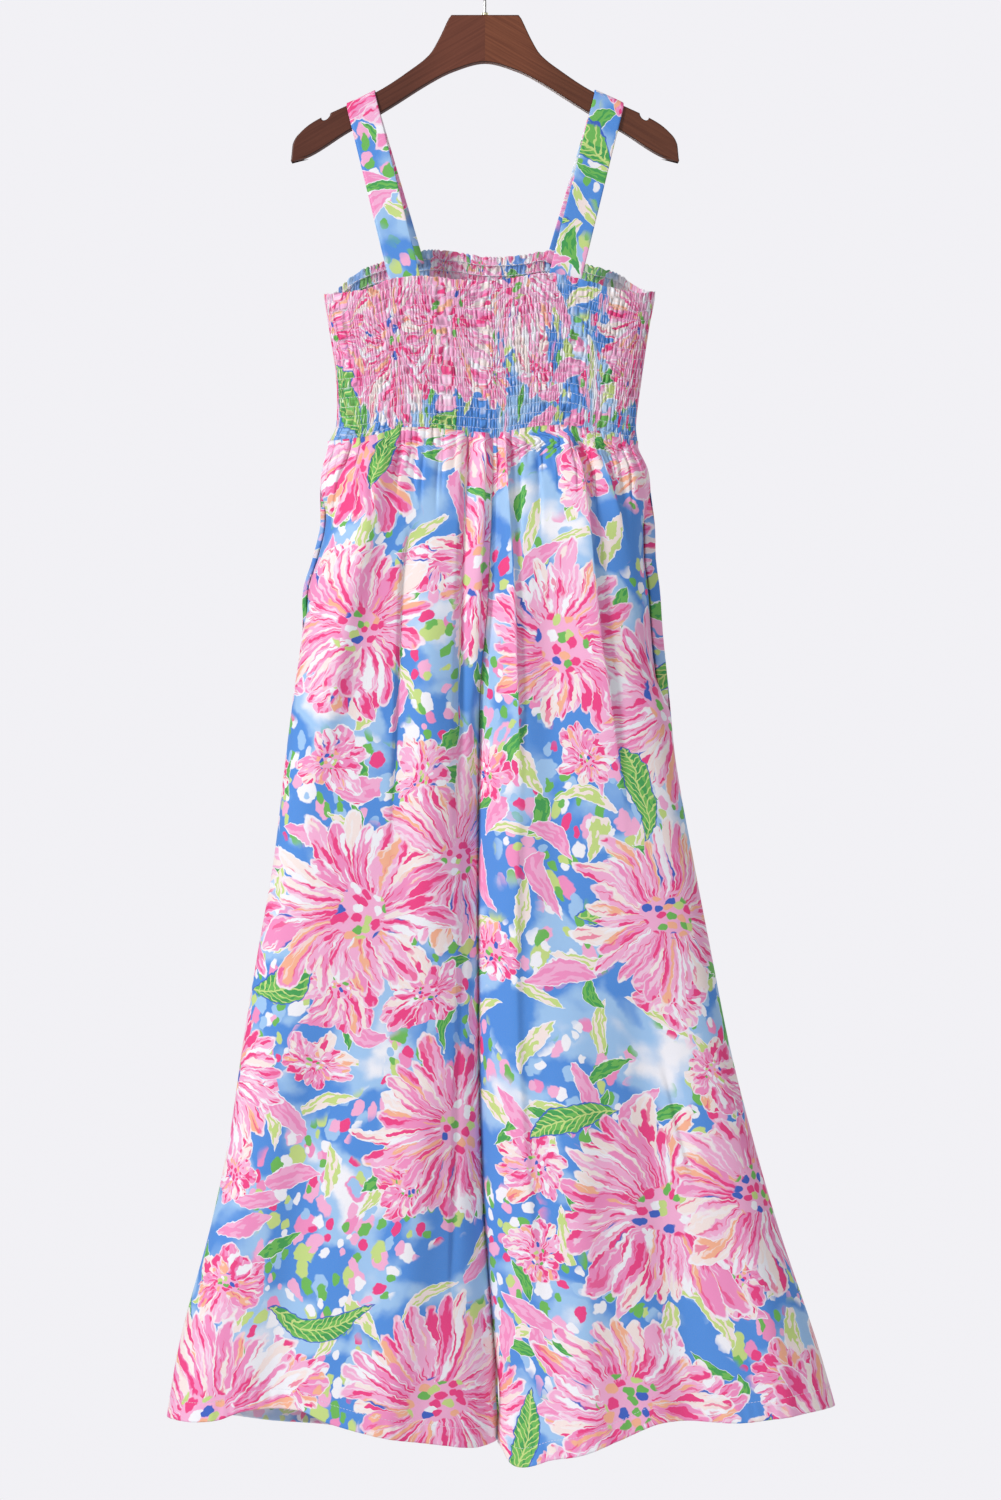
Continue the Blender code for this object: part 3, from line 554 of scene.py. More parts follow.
def even_angles(count):
    """Angles that divide the bodice's section into steps of equal length."""
    angles = np.linspace(-math.pi / 2, math.pi / 2, FINE_ANGLES)
    points = np.stack([BODICE_HALF_WIDTH * np.sin(angles), BODICE_HALF_DEPTH * roundness(angles)], -1)
    way = lengths_along(points[None])[0]
    return np.interp(np.linspace(0, way[-1], count + 1), way, angles)


def bodice_x(angle, drop):
    """x at an angle round the bodice's section."""
    middle = sized(MIDDLE_LINE, drop)
    right = sized(BODICE_SECTIONS, drop, WIDTH[RIGHT]) + middle
    left = sized(BODICE_SECTIONS, drop, WIDTH[LEFT]) - middle
    return middle + np.where(angle > 0, left, right) * np.sin(angle)


def bodice_points(angle, share, side, lift, edge_lift=0.0):
    """Points of a bodice panel: share runs from its top edge to the waist."""
    top = sized(TOP_EDGE[side], bodice_x(angle, TOP_DROP)) + edge_lift
    waist = sized(WAIST_SEAM[side], bodice_x(angle, WAIST_DROP))
    drop = top + (waist - top) * share
    depth = sized(BODICE_SECTIONS, drop, DEPTH)
    y = side * (depth * roundness(angle) + GAP / 2 + lift * np.sqrt(roundness(angle)))
    return np.stack([bodice_x(angle, drop), y, -drop], -1)


def elastic_shares(side):
    """Shares of the bodice's height at its rows of elastic."""
    height = (smooth(WAIST_SEAM[side], BODICE_MIDDLE) - smooth(TOP_EDGE[side], BODICE_MIDDLE)) * MM
    return np.linspace(HEADER / height, 1, ELASTIC_ROWS[side])


def bodice_lift(rng, along, rows):
    """How far each point of the shirred cloth stands out, and its place among the puckers.

    rows lists, for each row of points, its band between two elastics and how far down that band it is.
    Band -1 is the frill above the first elastic.
    """
    drift = ripples(rng, along, *DRIFT)
    own = {band: drift + ripples(rng, along, *ROW_DRIFT) for band, _ in rows}
    strength = {band: PUCKER_STRENGTH + ripples(rng, along, *ROW_STRENGTH) for band, _ in rows}
    waves = np.sin(TURN * (FRILLS * along + ripples(rng, along, *FRILL_DRIFT)))
    lifts, phases = [], []
    for band, way in rows:
        phase = PUCKERS * along + own[band] + PUCKER_SLANT * (way - 0.5) * math.cos(band)
        crest = np.abs(np.sin(math.pi * phase))**PUCKER_SHARPNESS * strength[band]
        if band < 0:
            frill = FRILL_HEIGHT * (0.5 + 0.5 * waves)
            puckered = RIB_HEIGHT * crest * PUCKER_AT_ELASTIC
            lift = puckered + (frill - puckered) * fade(1 - way)
        else:
            swell = between((PUCKER_AT_ELASTIC, 1.0), math.sin(math.pi * way)**0.5)
            lift = PUCKER_FLOOR + (RIB_HEIGHT - PUCKER_FLOOR) * crest * swell
        lifts.append(lift)
        phases.append(phase)
    return np.array(lifts), np.array(phases), waves


def bodice_rows(elastics):
    """The bodice's rows of points as bodice_lift takes them, and the share of its height at each."""
    rows = [(-1, i / HEADER_ROWS) for i in range(HEADER_ROWS)]
    shares = [elastics[0] * i / HEADER_ROWS for i in range(HEADER_ROWS)]
    for band in range(len(elastics) - 1):
        for way in BAND_WAYS:
            rows.append((band, way))
            shares.append(between(elastics[band:band + 2], way))
    rows.append((len(elastics) - 2, 1.0))
    shares.append(1.0)
    return rows, np.array(shares)[:, None]


def bodice_cloth(side, finishes):
    """A shirred bodice panel, and the runs of its stitches outside and its elastic inside."""
    name = f"bodice_{SIDES[side]}"
    rng = np.random.default_rng(BODICE_SEEDS[side])
    elastics = elastic_shares(side)
    rows, share = bodice_rows(elastics)
    angle = even_angles(BODICE_COLUMNS)
    along = np.linspace(0, 1, BODICE_COLUMNS + 1)
    lift, phase, waves = bodice_lift(rng, along, rows)
    edge = FRILL_EDGE * waves * fade(1 - share / elastics[0])
    points = bodice_points(angle[None], share, side, lift, edge)
    width = lengths_along(bodice_points(angle[None], share, side, 0.0))[:, -1:]
    valley = HIDDEN_PRINT * np.sin(TURN * phase) / TURN
    u = (phase / PUCKERS + valley / PUCKERS - 0.5) * width * SHIRRING
    ways = np.array([band + way for band, way in rows])[:, None] + 0 * phase
    place = [u + PRINT_SHIFT[name][0], -points[..., 2] + PRINT_SHIFT[name][1], phase, ways]
    made = cloth_sheet(name + "_cloth", [(points, np.stack(place, -1))], side == BACK, finishes, CLOTH)
    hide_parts(name)
    stitched, elasticated = [], []
    for elastic in elastics[:-1]:
        near = np.array([elastic - BODICE_NEAR, elastic, elastic + BODICE_NEAR])[:, None]
        near = near + ripples(rng, along, *THREAD_DRIFT)
        stitched.append(middle_run(bodice_points(angle[None], near, side, STITCH_LIFT), side))
        elasticated.append(middle_run(bodice_points(angle[None], near, side, ELASTIC_LIFT), -side))
    return made, stitched, elasticated


# ---- Legs ----

def mouth_opening(leg, drop):
    """1 along a pocket's mouth and 0 above and below it."""
    top, bottom, _ = POCKET_MOUTH[leg]
    t = (drop / MM - top) / (bottom - top)
    return fade(t / MOUTH_END) * fade((1 - t) / MOUTH_END)


def leg_side_x(leg, drop):
    """x of a leg's side seam."""
    return leg * sized(LEG_SECTIONS, drop, WIDTH[leg])


def leg_inner_x(leg, drop):
    """x of a leg's inner edge: the legs touch along the middle line, but part a little above the hem."""
    start, end = PARTED_PLACE
    parted = PARTED * np.sin(math.pi * np.clip((drop - start) / (end - start), 0, 1))**2
    return sized(MIDDLE_LINE, drop) + leg * (parted + GAP / 2)


def leg_drops(leg, side, u):
    """Drops of the waist seam and of the hem at u, which runs from the side seam to the inner edge."""
    waist_ends = leg_side_x(leg, WAIST_DROP), leg_inner_x(leg, WAIST_DROP)
    waist_x = between(waist_ends, 1 - np.cos(u * math.pi / 2))
    hem_ends = leg_side_x(leg, HEM_DROP), leg_inner_x(leg, HEM_DROP)
    hem_x = between(hem_ends, (1 - np.cos(u * math.pi)) / 2)
    return sized(WAIST_SEAM[side], waist_x) + GAP, sized(HEM[leg, side], hem_x)


def leg_form(leg, side, u, drop):
    """x of a leg panel's points, and how far they lie from the middle plane before folds are added."""
    side_x = leg_side_x(leg, drop)
    if side == FRONT:
        side_x = side_x - leg * POCKET_MOUTH[leg][2] * MM * mouth_opening(leg, drop)
    inner_x = leg_inner_x(leg, drop)
    depth = sized(LEG_SECTIONS, drop, DEPTH)
    fullness = np.where(drop < CROTCH_DROP, smooth(MIDDLE_FULLNESS, drop / MM), 0.0)
    last = np.arcsin((1 - np.minimum(fullness, 1.0)**2)**0.25)
    angle = -math.pi / 2 + (last + math.pi / 2) * u
    along = (np.sin(angle) + 1) / (np.sin(last) + 1)
    return side_x + (inner_x - side_x) * along, depth * roundness(angle) + GAP / 2


def placed_folds(leg, side, x, drop):
    """Each fold of a panel, with how far points lie from it and how full it is there."""
    for fold in FOLDS[leg, side]:
        *_, rise, fall, _, route = fold
        full = fade((drop / MM - route[0][0]) / rise) * fade((route[-1][0] - drop / MM) / fall)
        yield fold, x - sized(route, drop), full


def fold_relief(leg, side, x, drop):
    """Height that the folds add, and how much of the print they hide up to each point, in metres."""
    relief, hidden = np.zeros_like(x), np.zeros_like(x)
    for (height, below, above, _, _, hides, _), away, full in placed_folds(leg, side, x, drop):
        relief += height * MM * bell(away, below * MM, above * MM) * full
        hidden += hides * MM * fade(away / TUCK_WIDTH + 0.5) * full
    return relief, hidden


def column_places(leg, side, share, count):
    """Places of the columns across the panel, for each row of points: closer together on sharp folds."""
    u = np.linspace(0, 1, FINE_PLACES + 1)
    waist, hem = leg_drops(leg, side, u[None])
    drop = waist + (hem - waist) * share
    x, depth = leg_form(leg, side, u[None], drop)
    relief = GATHER_CROWDING * gather_relief(leg, side, x, drop, waist)[0]
    steps = np.hypot(np.diff(x, axis=1), np.diff(depth + relief, axis=1))
    density = 0.5 + 0.5 * steps / steps.mean(axis=1, keepdims=True)
    for (_, below, above, *_), away, full in placed_folds(leg, side, x[:, 1:], drop[:, 1:]):
        narrow = min(below, above)
        if narrow < SHARP:
            density += CROWDING * full * np.exp(-(away / (CROWD_REACH * narrow * MM))**2)
    total = np.concatenate([np.zeros((len(share), 1)), np.cumsum(density, axis=1)], axis=1)
    return np.stack([np.interp(np.linspace(0, row[-1], count + 1), row, u) for row in total])


def gathers_of(leg, side, rng):
    """Gathers of one panel as x at the waist seam, length, half width and depth, in metres."""
    chosen = list(GATHERS[leg, side])
    out, last = GATHERED
    while out < last:
        if all(abs(out - abs(row[0])) > GATHER_CLEAR for row in chosen):
            sizes = [rng.uniform(*SMALL_GATHERS[name]) for name in ("length", "half width", "depth")]
            chosen.append((leg * out, *sizes))
        out += rng.uniform(*SMALL_GATHERS["spacing"])
    return np.array(chosen) * MM


def gather_relief(leg, side, x, drop, waist):
    """Narrow valleys below the waist seam, which spread and fade on their way down, with the puff between,
    and how much of the print they hide up to each point.
    """
    rng = np.random.default_rng(100 + 10 * leg + side)
    below = np.maximum(drop - waist, 0.0)
    swell = between((GATHER_AT_SEAM, 1.0), fade(below / GATHER_SWELL))
    relief = PUFF * np.exp(-below / PUFF_FADE) * swell
    seam_width = leg_side_x(leg, WAIST_DROP) - leg_inner_x(leg, WAIST_DROP)
    from_inner = x - leg_inner_x(leg, drop)
    spread = (leg_side_x(leg, drop) - leg_inner_x(leg, drop)) / seam_width
    hidden = np.zeros_like(x)
    for place, length, half_width, depth in gathers_of(leg, side, rng):
        lean = rng.uniform(-GATHER_LEAN, GATHER_LEAN)
        away = from_inner - (place - leg_inner_x(leg, WAIST_DROP)) * spread - lean * below
        flanks = rng.permutation(GATHER_FLANKS)
        width = half_width * (1 + below / length) * np.where(away < 0, flanks[0], flanks[1])
        left = fade(GATHER_REACH * (1 - below / (GATHER_REACH * length)))
        relief = relief - depth * np.exp(-np.abs(away / width)**CREASE) * swell * left
        hidden = hidden + GATHER_HIDES * depth * fade(away / GATHER_TUCK + 0.5) * left
    return relief, hidden


def leg_points(leg, side, u, share):
    """Points of a leg panel's outer face, share running from waist to hem, and the print that folds hide."""
    waist, hem = leg_drops(leg, side, u)
    drop = waist + (hem - waist) * share
    x, depth = leg_form(leg, side, u, drop)
    relief, hidden = fold_relief(leg, side, x, drop)
    gathers, tucked = gather_relief(leg, side, x, drop, waist)
    relief = relief + gathers
    turned = fade((drop - (hem - TURN_UP)) / TURN_UP_EDGE)
    stray, times = ROPE_DRIFT
    roping = HEM_ROPING * np.sin(TURN * (ROPES * u + stray * np.sin(TURN * times * u)))
    margin = INNER_MARGIN + (SEAM_MARGIN - INNER_MARGIN) * fade((drop - CROTCH_DROP) / MARGIN_RUN + 1)
    inside = fade(u / SEAM_MARGIN) * fade((1 - u) / margin)
    y = side * (depth + (relief + roping * turned) * inside + TURN_UP_RISE * turned)
    near = fade(1 - np.abs(x - leg_inner_x(leg, drop)) / OVERLAP_REACH)
    low = fade((drop - CROTCH_DROP) / OVERLAP_RUN + 1)
    x = x + OVERLAP * fade(y / (2 * OVERLAP_DEPTH) + 0.5) * near * low
    return np.stack([x, y, -drop], -1), hidden + tucked


def leg_strip(leg, side, share, columns):
    """A stretch of a leg panel as rows of points, with each point's place on the print."""
    u = column_places(leg, side, share, columns)
    points, hidden = leg_points(leg, side, u, share)
    drop = -points[..., 2]
    x, depth = leg_form(leg, side, u, drop)
    across = lengths_along(np.stack([x, depth, np.zeros_like(x)], -1))
    flat = hidden - leg * across * smooth(LEG_GATHERING, drop / MM)
    middle = np.array([[np.interp(along[-1] / 2, along, row)] for along, row in zip(across, flat)])
    return points, np.stack([flat - middle, drop], -1) + PRINT_SHIFT[f"leg_{HANDS[leg]}_{SIDES[side]}"]


def leg_cloth(leg, side, finishes):
    """A leg panel, and the run of its hem's stitches."""
    name = f"leg_{HANDS[leg]}_{SIDES[side]}"
    waist, hem = leg_drops(leg, side, np.linspace(0, 1, LEG_COLUMNS))
    length = (hem - waist).mean()
    gathered, turned = GATHERED_HEIGHT / length, 1 - HEM_ROWS_START * TURN_UP / length
    high = np.linspace(0, gathered, GATHERED_ROWS, endpoint=False)[:, None]
    low = np.concatenate([np.linspace(gathered, turned, LEG_ROWS, endpoint=False),
                          np.linspace(turned, 1, HEM_ROWS)])[:, None]
    points, place = leg_strip(leg, side, high, 2 * LEG_COLUMNS)
    tucked = points[:1] + [0, -side * ALLOWANCE_DEPTH, ALLOWANCE]
    top = np.concatenate([tucked, points]), np.concatenate([place[:1] - [0, ALLOWANCE], place])
    strips = [top, leg_strip(leg, side, low, LEG_COLUMNS)]
    made = cloth_sheet(name + "_cloth", strips, leg * side < 0, finishes, CLOTH)
    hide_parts(name)
    across = np.linspace(*HEM_STITCHED, 3 * LEG_COLUMNS)[None]
    waist, hem = leg_drops(leg, side, across)
    level = 1 - TURN_UP / (hem - waist)
    near = np.concatenate([level - LEG_NEAR, level, level + LEG_NEAR])
    return made, middle_run(leg_points(leg, side, across, near)[0], side)


def pocket_bag(leg, finishes):
    """The flat bag behind a pocket's mouth. At the mouth its front reaches out to the side seam as a facing,
    and dips into a narrow crevice under the front panel's edge.
    """
    name = f"pocket_{HANDS[leg]}"
    drops = np.linspace(BAG_SHAPE[0][0], BAG_SHAPE[-1][0], BAG_ROWS)[:, None] * MM
    near = np.linspace(0, FACING, FACING_COLUMNS, endpoint=False)[None]
    width = sized(BAG_SHAPE, drops)
    far = FACING + (width - FACING) * np.linspace(0, 1, BAG_COLUMNS)[None]
    out = np.concatenate([near + 0 * width, far], axis=1)
    opening = mouth_opening(leg, drops)
    edge = np.abs(leg_side_x(leg, drops)) - between((LEG_WALL + GAP, GAP), opening)
    way = (drops - drops[0]) / (drops[-1] - drops[0])
    swell = np.sqrt(np.maximum(np.sin(math.pi * out / width) * np.sin(math.pi * way), 0.0))
    crevice = POCKET_MOUTH[leg][2] * MM - GAP
    dip = CREVICE_DEPTH * bell(out - crevice, CREVICE[leg], 2 * CREVICE[leg])
    ahead = FACING_AHEAD * fade(1 - out / FACING)
    layers = []
    for turn, sheet in ((-1, "front"), (1, "back")):
        y = GAP + BAG_DEPTH + turn * BAG_SWELL * swell + (dip - ahead) * opening
        if sheet == "back":
            y = y + BAG_APART * opening
        points = np.stack([leg * (edge - out), y, -drops + 0 * out], -1)
        place = points[..., [0, 2]] * [1, -1] + PRINT_SHIFT[name]
        strips = [(points, place)]
        layers.append(cloth_sheet(f"{name}_{sheet}_bag", strips, leg * turn > 0, finishes[:1], THIN_CLOTH))
    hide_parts(name)
    return layers


def bar_tack(leg):
    """Short stitches one below the other, across the lower end of a pocket's mouth."""
    length, gap, half = TACK_STITCH
    top, bottom, _ = POCKET_MOUTH[leg]
    start = (bottom - MOUTH_END * (bottom - top) * TACK_UP) * MM
    across = np.linspace(*TACK_PLACES)[None]
    waist, hem = leg_drops(leg, FRONT, across)
    near = np.array([-LEG_NEAR, 0.0, LEG_NEAR])[:, None]
    runs = []
    for i in range(TACK_ROWS):
        share = (start + i * TACK_STEP * half + near - waist) / (hem - waist)
        points, normals = middle_run(leg_points(leg, FRONT, across, share)[0], FRONT)
        kept = lengths_along(points[None])[0] < length + 2 * gap
        runs.append((points[kept], normals[kept]))
    return runs


# ---- Straps ----

def strap_point(leg, side, t, across, face):
    """A point of one strand: t runs from its sewn end inside the bodice to the hanger's top."""
    low_out = between(STRAP_AT_BODICE, across) * MM
    high_out = between(STRAP_AT_HANGER, across) * MM
    low = sized(TOP_EDGE[side], leg * low_out) + STRAP_TUCK
    high = WOOD_DROP + sized(WOOD_UPPER, high_out) + WOOD_ROUNDING
    out = between((low_out, high_out), t)
    width = sized(BODICE_SECTIONS, STRAP_LEVEL, WIDTH[leg]) - BODICE_WALL
    depth = sized(BODICE_SECTIONS, STRAP_LEVEL, DEPTH) - BODICE_WALL
    sewn = depth * math.sqrt(1 - (out / width)**4) - GAP - STRAP_THICKNESS / 2 - STRAP_CLEARANCE
    y = between((sewn, face), max(t - STRAP_SEWN, 0.0) / (1 - STRAP_SEWN))
    return np.array([leg * out, side * y, -between((low, high), t)])


def strap_bend(leg, side, swing, across, offset):
    """A point where the strap bends over the edge of the hanger arm."""
    out = between(STRAP_AT_HANGER, across) * MM
    corner = WOOD_ROUNDING + offset
    y = WOOD_THICKNESS / 2 - WOOD_ROUNDING + corner * math.cos(swing)
    top = -WOOD_DROP - sized(WOOD_UPPER, out)
    z = top - WOOD_ROUNDING + (corner + SLOPE_ALLOWANCE) * math.sin(swing)
    return np.array([leg * out, side * y, z])


def strap_spine(leg, across):
    """Points along one line of the strap, from its front end over the hanger to its back end."""
    offset = GAP + STRAP_THICKNESS / 2
    face = WOOD_THICKNESS / 2 + offset
    line = []
    for side in (FRONT, BACK):
        ways = np.linspace(0, STRAND_END, STRAND_POINTS)
        strand = [strap_point(leg, side, t, across, face) for t in ways]
        bends = range(0, 90 + BEND_STEP, BEND_STEP)
        strand += [strap_bend(leg, side, math.radians(bend), across, offset) for bend in bends]
        line += strand if side == FRONT else strand[::-1]
    return np.array(line)


def strap_section():
    """Points round the strap's section: share of its half width, and of its round edges' reach and height."""
    across = np.linspace(-1, 1, STRAP_FACE_POINTS)
    swings = np.linspace(math.pi / 2, -math.pi / 2, STRAP_EDGE_POINTS)[1:-1]
    section = [(share, 0.0, 1.0) for share in across]
    section += [(1.0, math.cos(swing), math.sin(swing)) for swing in swings]
    section += [(share, 0.0, -1.0) for share in across[::-1]]
    section += [(-1.0, -math.cos(swing), math.sin(swing)) for swing in swings[::-1]]
    return section + section[:1]


def strap_cloth(leg, finishes):
    """A pressed-flat tube of cloth: a flat section with round edges, swept along the strap."""
    name = f"strap_{HANDS[leg]}"
    outer, middle, inner = (strap_spine(leg, across) for across in (0.0, 0.5, 1.0))
    half = (inner - outer) / 2
    half_width = np.linalg.norm(half, axis=1)[:, None]
    sideways = half / half_width
    out = np.cross(sideways, np.gradient(middle, axis=0))
    out /= np.linalg.norm(out, axis=1)[:, None]
    edge = STRAP_THICKNESS / 2 - STRAP_SLACK
    way = lengths_along(middle[None])[0]
    sag = sum(height * np.sin(TURN * way / length) for height, length in STRAP_WAVES)[:, None]
    rings, places = [], []
    for share, reach, height in strap_section():
        reach = (half_width - edge) * share + edge * reach
        bulge = edge * height * (1 - STRAP_PINCH * (1 - abs(share))) + sag * (1 - share**2)
        rings.append(middle + sideways * reach + out * bulge)
        places.append(np.stack([reach[:, 0], way], -1) + PRINT_SHIFT[name])
    strips = [(np.stack(rings, 1), np.stack(places, 1))]
    made = cloth_sheet(name + "_cloth", strips, leg == RIGHT, finishes[:1], THIN_CLOTH)
    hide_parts(name)
    return made, way[-1], 2 * half_width.mean()


# ---- Hanger ----

def wood_outline():
    """Distance out and drop round one half of the wood, with the notch in its upper edge, mm."""
    notch_out, notch_radius = NOTCH_OUT / MM, NOTCH_RADIUS / MM
    inmost, outmost = WOOD_UPPER[0][0], WOOD_UPPER[-1][0]
    upper = [between((inmost, outmost), math.sin(math.pi / 2 * i / WOOD_TOP_POINTS))
             for i in range(WOOD_TOP_POINTS)]
    before = [(out, smooth(WOOD_UPPER, out)) for out in upper if out < notch_out - notch_radius]
    after = [(out, smooth(WOOD_UPPER, out)) for out in upper if out > notch_out + notch_radius]
    notch = []
    for i in range(NOTCH_POINTS + 1):
        swing = math.pi * (1 - i / NOTCH_POINTS)
        out = notch_out + notch_radius * math.cos(swing)
        notch.append((out, smooth(WOOD_UPPER, out) + notch_radius * math.sin(swing)))
    joint = JOINT / MM
    lower = []
    for i in range(WOOD_BOTTOM_POINTS + 1):
        out = outmost * (1 - i / WOOD_BOTTOM_POINTS)
        lower.append((max(out, joint), smooth(WOOD_LOWER, out)))
    return [(joint, 0.0)] + before + notch + after + lower


def wood_half(leg, finish):
    """One half of the hanger's wood: its outline as thick as the board, with rounded edges."""
    name = f"hanger_arm_{HANDS[leg]}"
    mesh = bmesh.new()
    corners = [mesh.verts.new((leg * out * MM, WOOD_THICKNESS / 2, -WOOD_DROP - drop * MM))
               for out, drop in wood_outline()]
    face = mesh.faces.new(corners)
    moved = bmesh.ops.extrude_face_region(mesh, geom=[face])["geom"]
    across = [part for part in moved if isinstance(part, bmesh.types.BMVert)]
    bmesh.ops.translate(mesh, verts=across, vec=(0, -WOOD_THICKNESS, 0))
    bmesh.ops.recalc_face_normals(mesh, faces=mesh.faces)
    rounded = mesh.edges.layers.float.new("bevel_weight_edge")
    for edge in mesh.edges:
        flat = abs(edge.verts[0].co.y - edge.verts[1].co.y) < MM
        joint = all(abs(corner.co.x) < MM for corner in edge.verts)
        edge[rounded] = 1.0 if flat and not joint else 0.0
    data = bpy.data.meshes.new(name)
    mesh.to_mesh(data)
    mesh.free()
    data.shade_smooth()
    data.set_sharp_from_angle(angle=math.radians(SHARP_ANGLE))
    made = piece(name + "_wood", data, [finish])
    rounding = made.modifiers.new("rounded edges", "BEVEL")
    rounding.width = WOOD_BEVEL
    rounding.segments = BEVEL_SEGMENTS
    rounding.use_clamp_overlap = False
    rounding.limit_method = "WEIGHT"
    rounding.harden_normals = True
    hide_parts(name)
    return made


def hook_wire(finish):
    """The wire: seated in the wood, up, out to the wearer's right and over to an open end on the left."""
    def on_arc(swing):
        return Vector((math.cos(swing), 0, math.sin(swing))) * HOOK_RADIUS + centre

    centre = Vector((0, 0, HOOK_WIRE / 2 - HOOK_RADIUS))
    bend = Vector((0, 0, -HOOK_BEND_DROP))
    swings = math.radians(HOOK_START), math.radians(HOOK_END)
    onto_arc = Vector((math.sin(swings[0]), 0, -math.cos(swings[0])))
    points = [Vector((0, 0, -WOOD_DROP - HOOK_SEAT)), Vector((0, 0, -WOOD_DROP)), bend]
    for i in range(1, HOOK_NECK_POINTS):
        way = HOOK_EASE * i / HOOK_NECK_POINTS
        points.append(eased(bend, on_arc(swings[0]), Vector((0, 0, 1)), onto_arc, way, HOOK_EASE))
    points += [on_arc(between(swings, i / HOOK_ARC_POINTS)) for i in range(HOOK_ARC_POINTS + 1)]
    data = bpy.data.curves.new("hanger_hook_wire", "CURVE")
    spline = data.splines.new("POLY")
    spline.points.add(len(points) - 1)
    for point, place in zip(spline.points, points):
        point.co = (*place, 1.0)
    data.dimensions = "3D"
    data.bevel_depth = HOOK_WIRE / 2
    data.bevel_resolution = 8
    data.use_fill_caps = True
    made = piece("hanger_hook_wire", data, [finish])
    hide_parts("hanger_hook")
    return made


def collar_ring(finish):
    """A turned ring round the wire, standing on the wood, its rims rounded."""
    inner, outer = HOOK_WIRE / 2 + GAP, COLLAR_DIAMETER / 2
    low = -WOOD_DROP + GAP
    high = low + COLLAR_HEIGHT
    rim = COLLAR_RIM
    profile = [(inner, high)]
    for start, end, level in ((math.pi / 2, 0, high - rim), (0, -math.pi / 2, low + rim)):
        profile += [(outer - rim + rim * math.cos(swing), level + rim * math.sin(swing))
                    for swing in np.linspace(start, end, COLLAR_RIM_POINTS)]
    profile.append((inner, low))
    mesh = bmesh.new()
    corners = [mesh.verts.new((x, 0, z)) for x, z in profile]
    for corner, following in zip(corners, corners[1:] + corners[:1]):
        mesh.edges.new((corner, following))
    data = bpy.data.meshes.new("hook_collar_ring")
    mesh.to_mesh(data)
    mesh.free()
    made = piece("hook_collar_ring", data, [finish])
    turned = made.modifiers.new("turned", "SCREW")
    turned.steps = turned.render_steps = COLLAR_STEPS
    turned.use_merge_vertices = True
    turned.merge_threshold = JOINT / 2
    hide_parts("hook_collar")
    return made


# ---- Materials ----

class Value:
    """A node's output. Sums, products and the methods below put further nodes after it."""

    def __init__(self, graph, socket):
        self.graph = graph
        self.socket = socket

    def math(self, operation, *others):
        """What a Math node makes of this, or a Vector Math node if this is a vector or a colour."""
        vector = self.socket.type != "VALUE"
        node = self.graph.add("ShaderNodeVectorMath" if vector else "ShaderNodeMath", operation=operation)
        self.graph.put(node.inputs[0], self)
        for other in others:
            self.graph.put(node.inputs["Scale" if operation == "SCALE" else 1], other)
        return Value(self.graph, node.outputs["Value" if operation == "LENGTH" else 0])

    def __add__(self, other):
        return self.math("ADD", other)

    def __sub__(self, other):
        return self.math("SUBTRACT", other)

    def __mul__(self, other):
        """A vector is scaled by a number, and multiplied part by part by a tuple."""
        each = self.socket.type == "VALUE" or isinstance(other, tuple)
        return self.math("MULTIPLY" if each else "SCALE", other)

    def __truediv__(self, other):
        return self.math("DIVIDE", other)

    def __pow__(self, other):
        return self.math("POWER", other)

    def __abs__(self):
        return self.math("ABSOLUTE")

    def step(self, low, high):
        """0 below low and 1 above high, or the other way round where low is the higher."""
        inputs = {0: self, 1: low, 2: high, 3: 0.0, 4: 1.0}
        return self.graph.made("ShaderNodeMapRange", inputs, interpolation_type="SMOOTHSTEP")

    def parts(self):
        """The three parts of a vector or a colour."""
        node = self.graph.add("ShaderNodeSeparateXYZ")
        self.graph.put(node.inputs[0], self)
        return [Value(self.graph, socket) for socket in node.outputs]


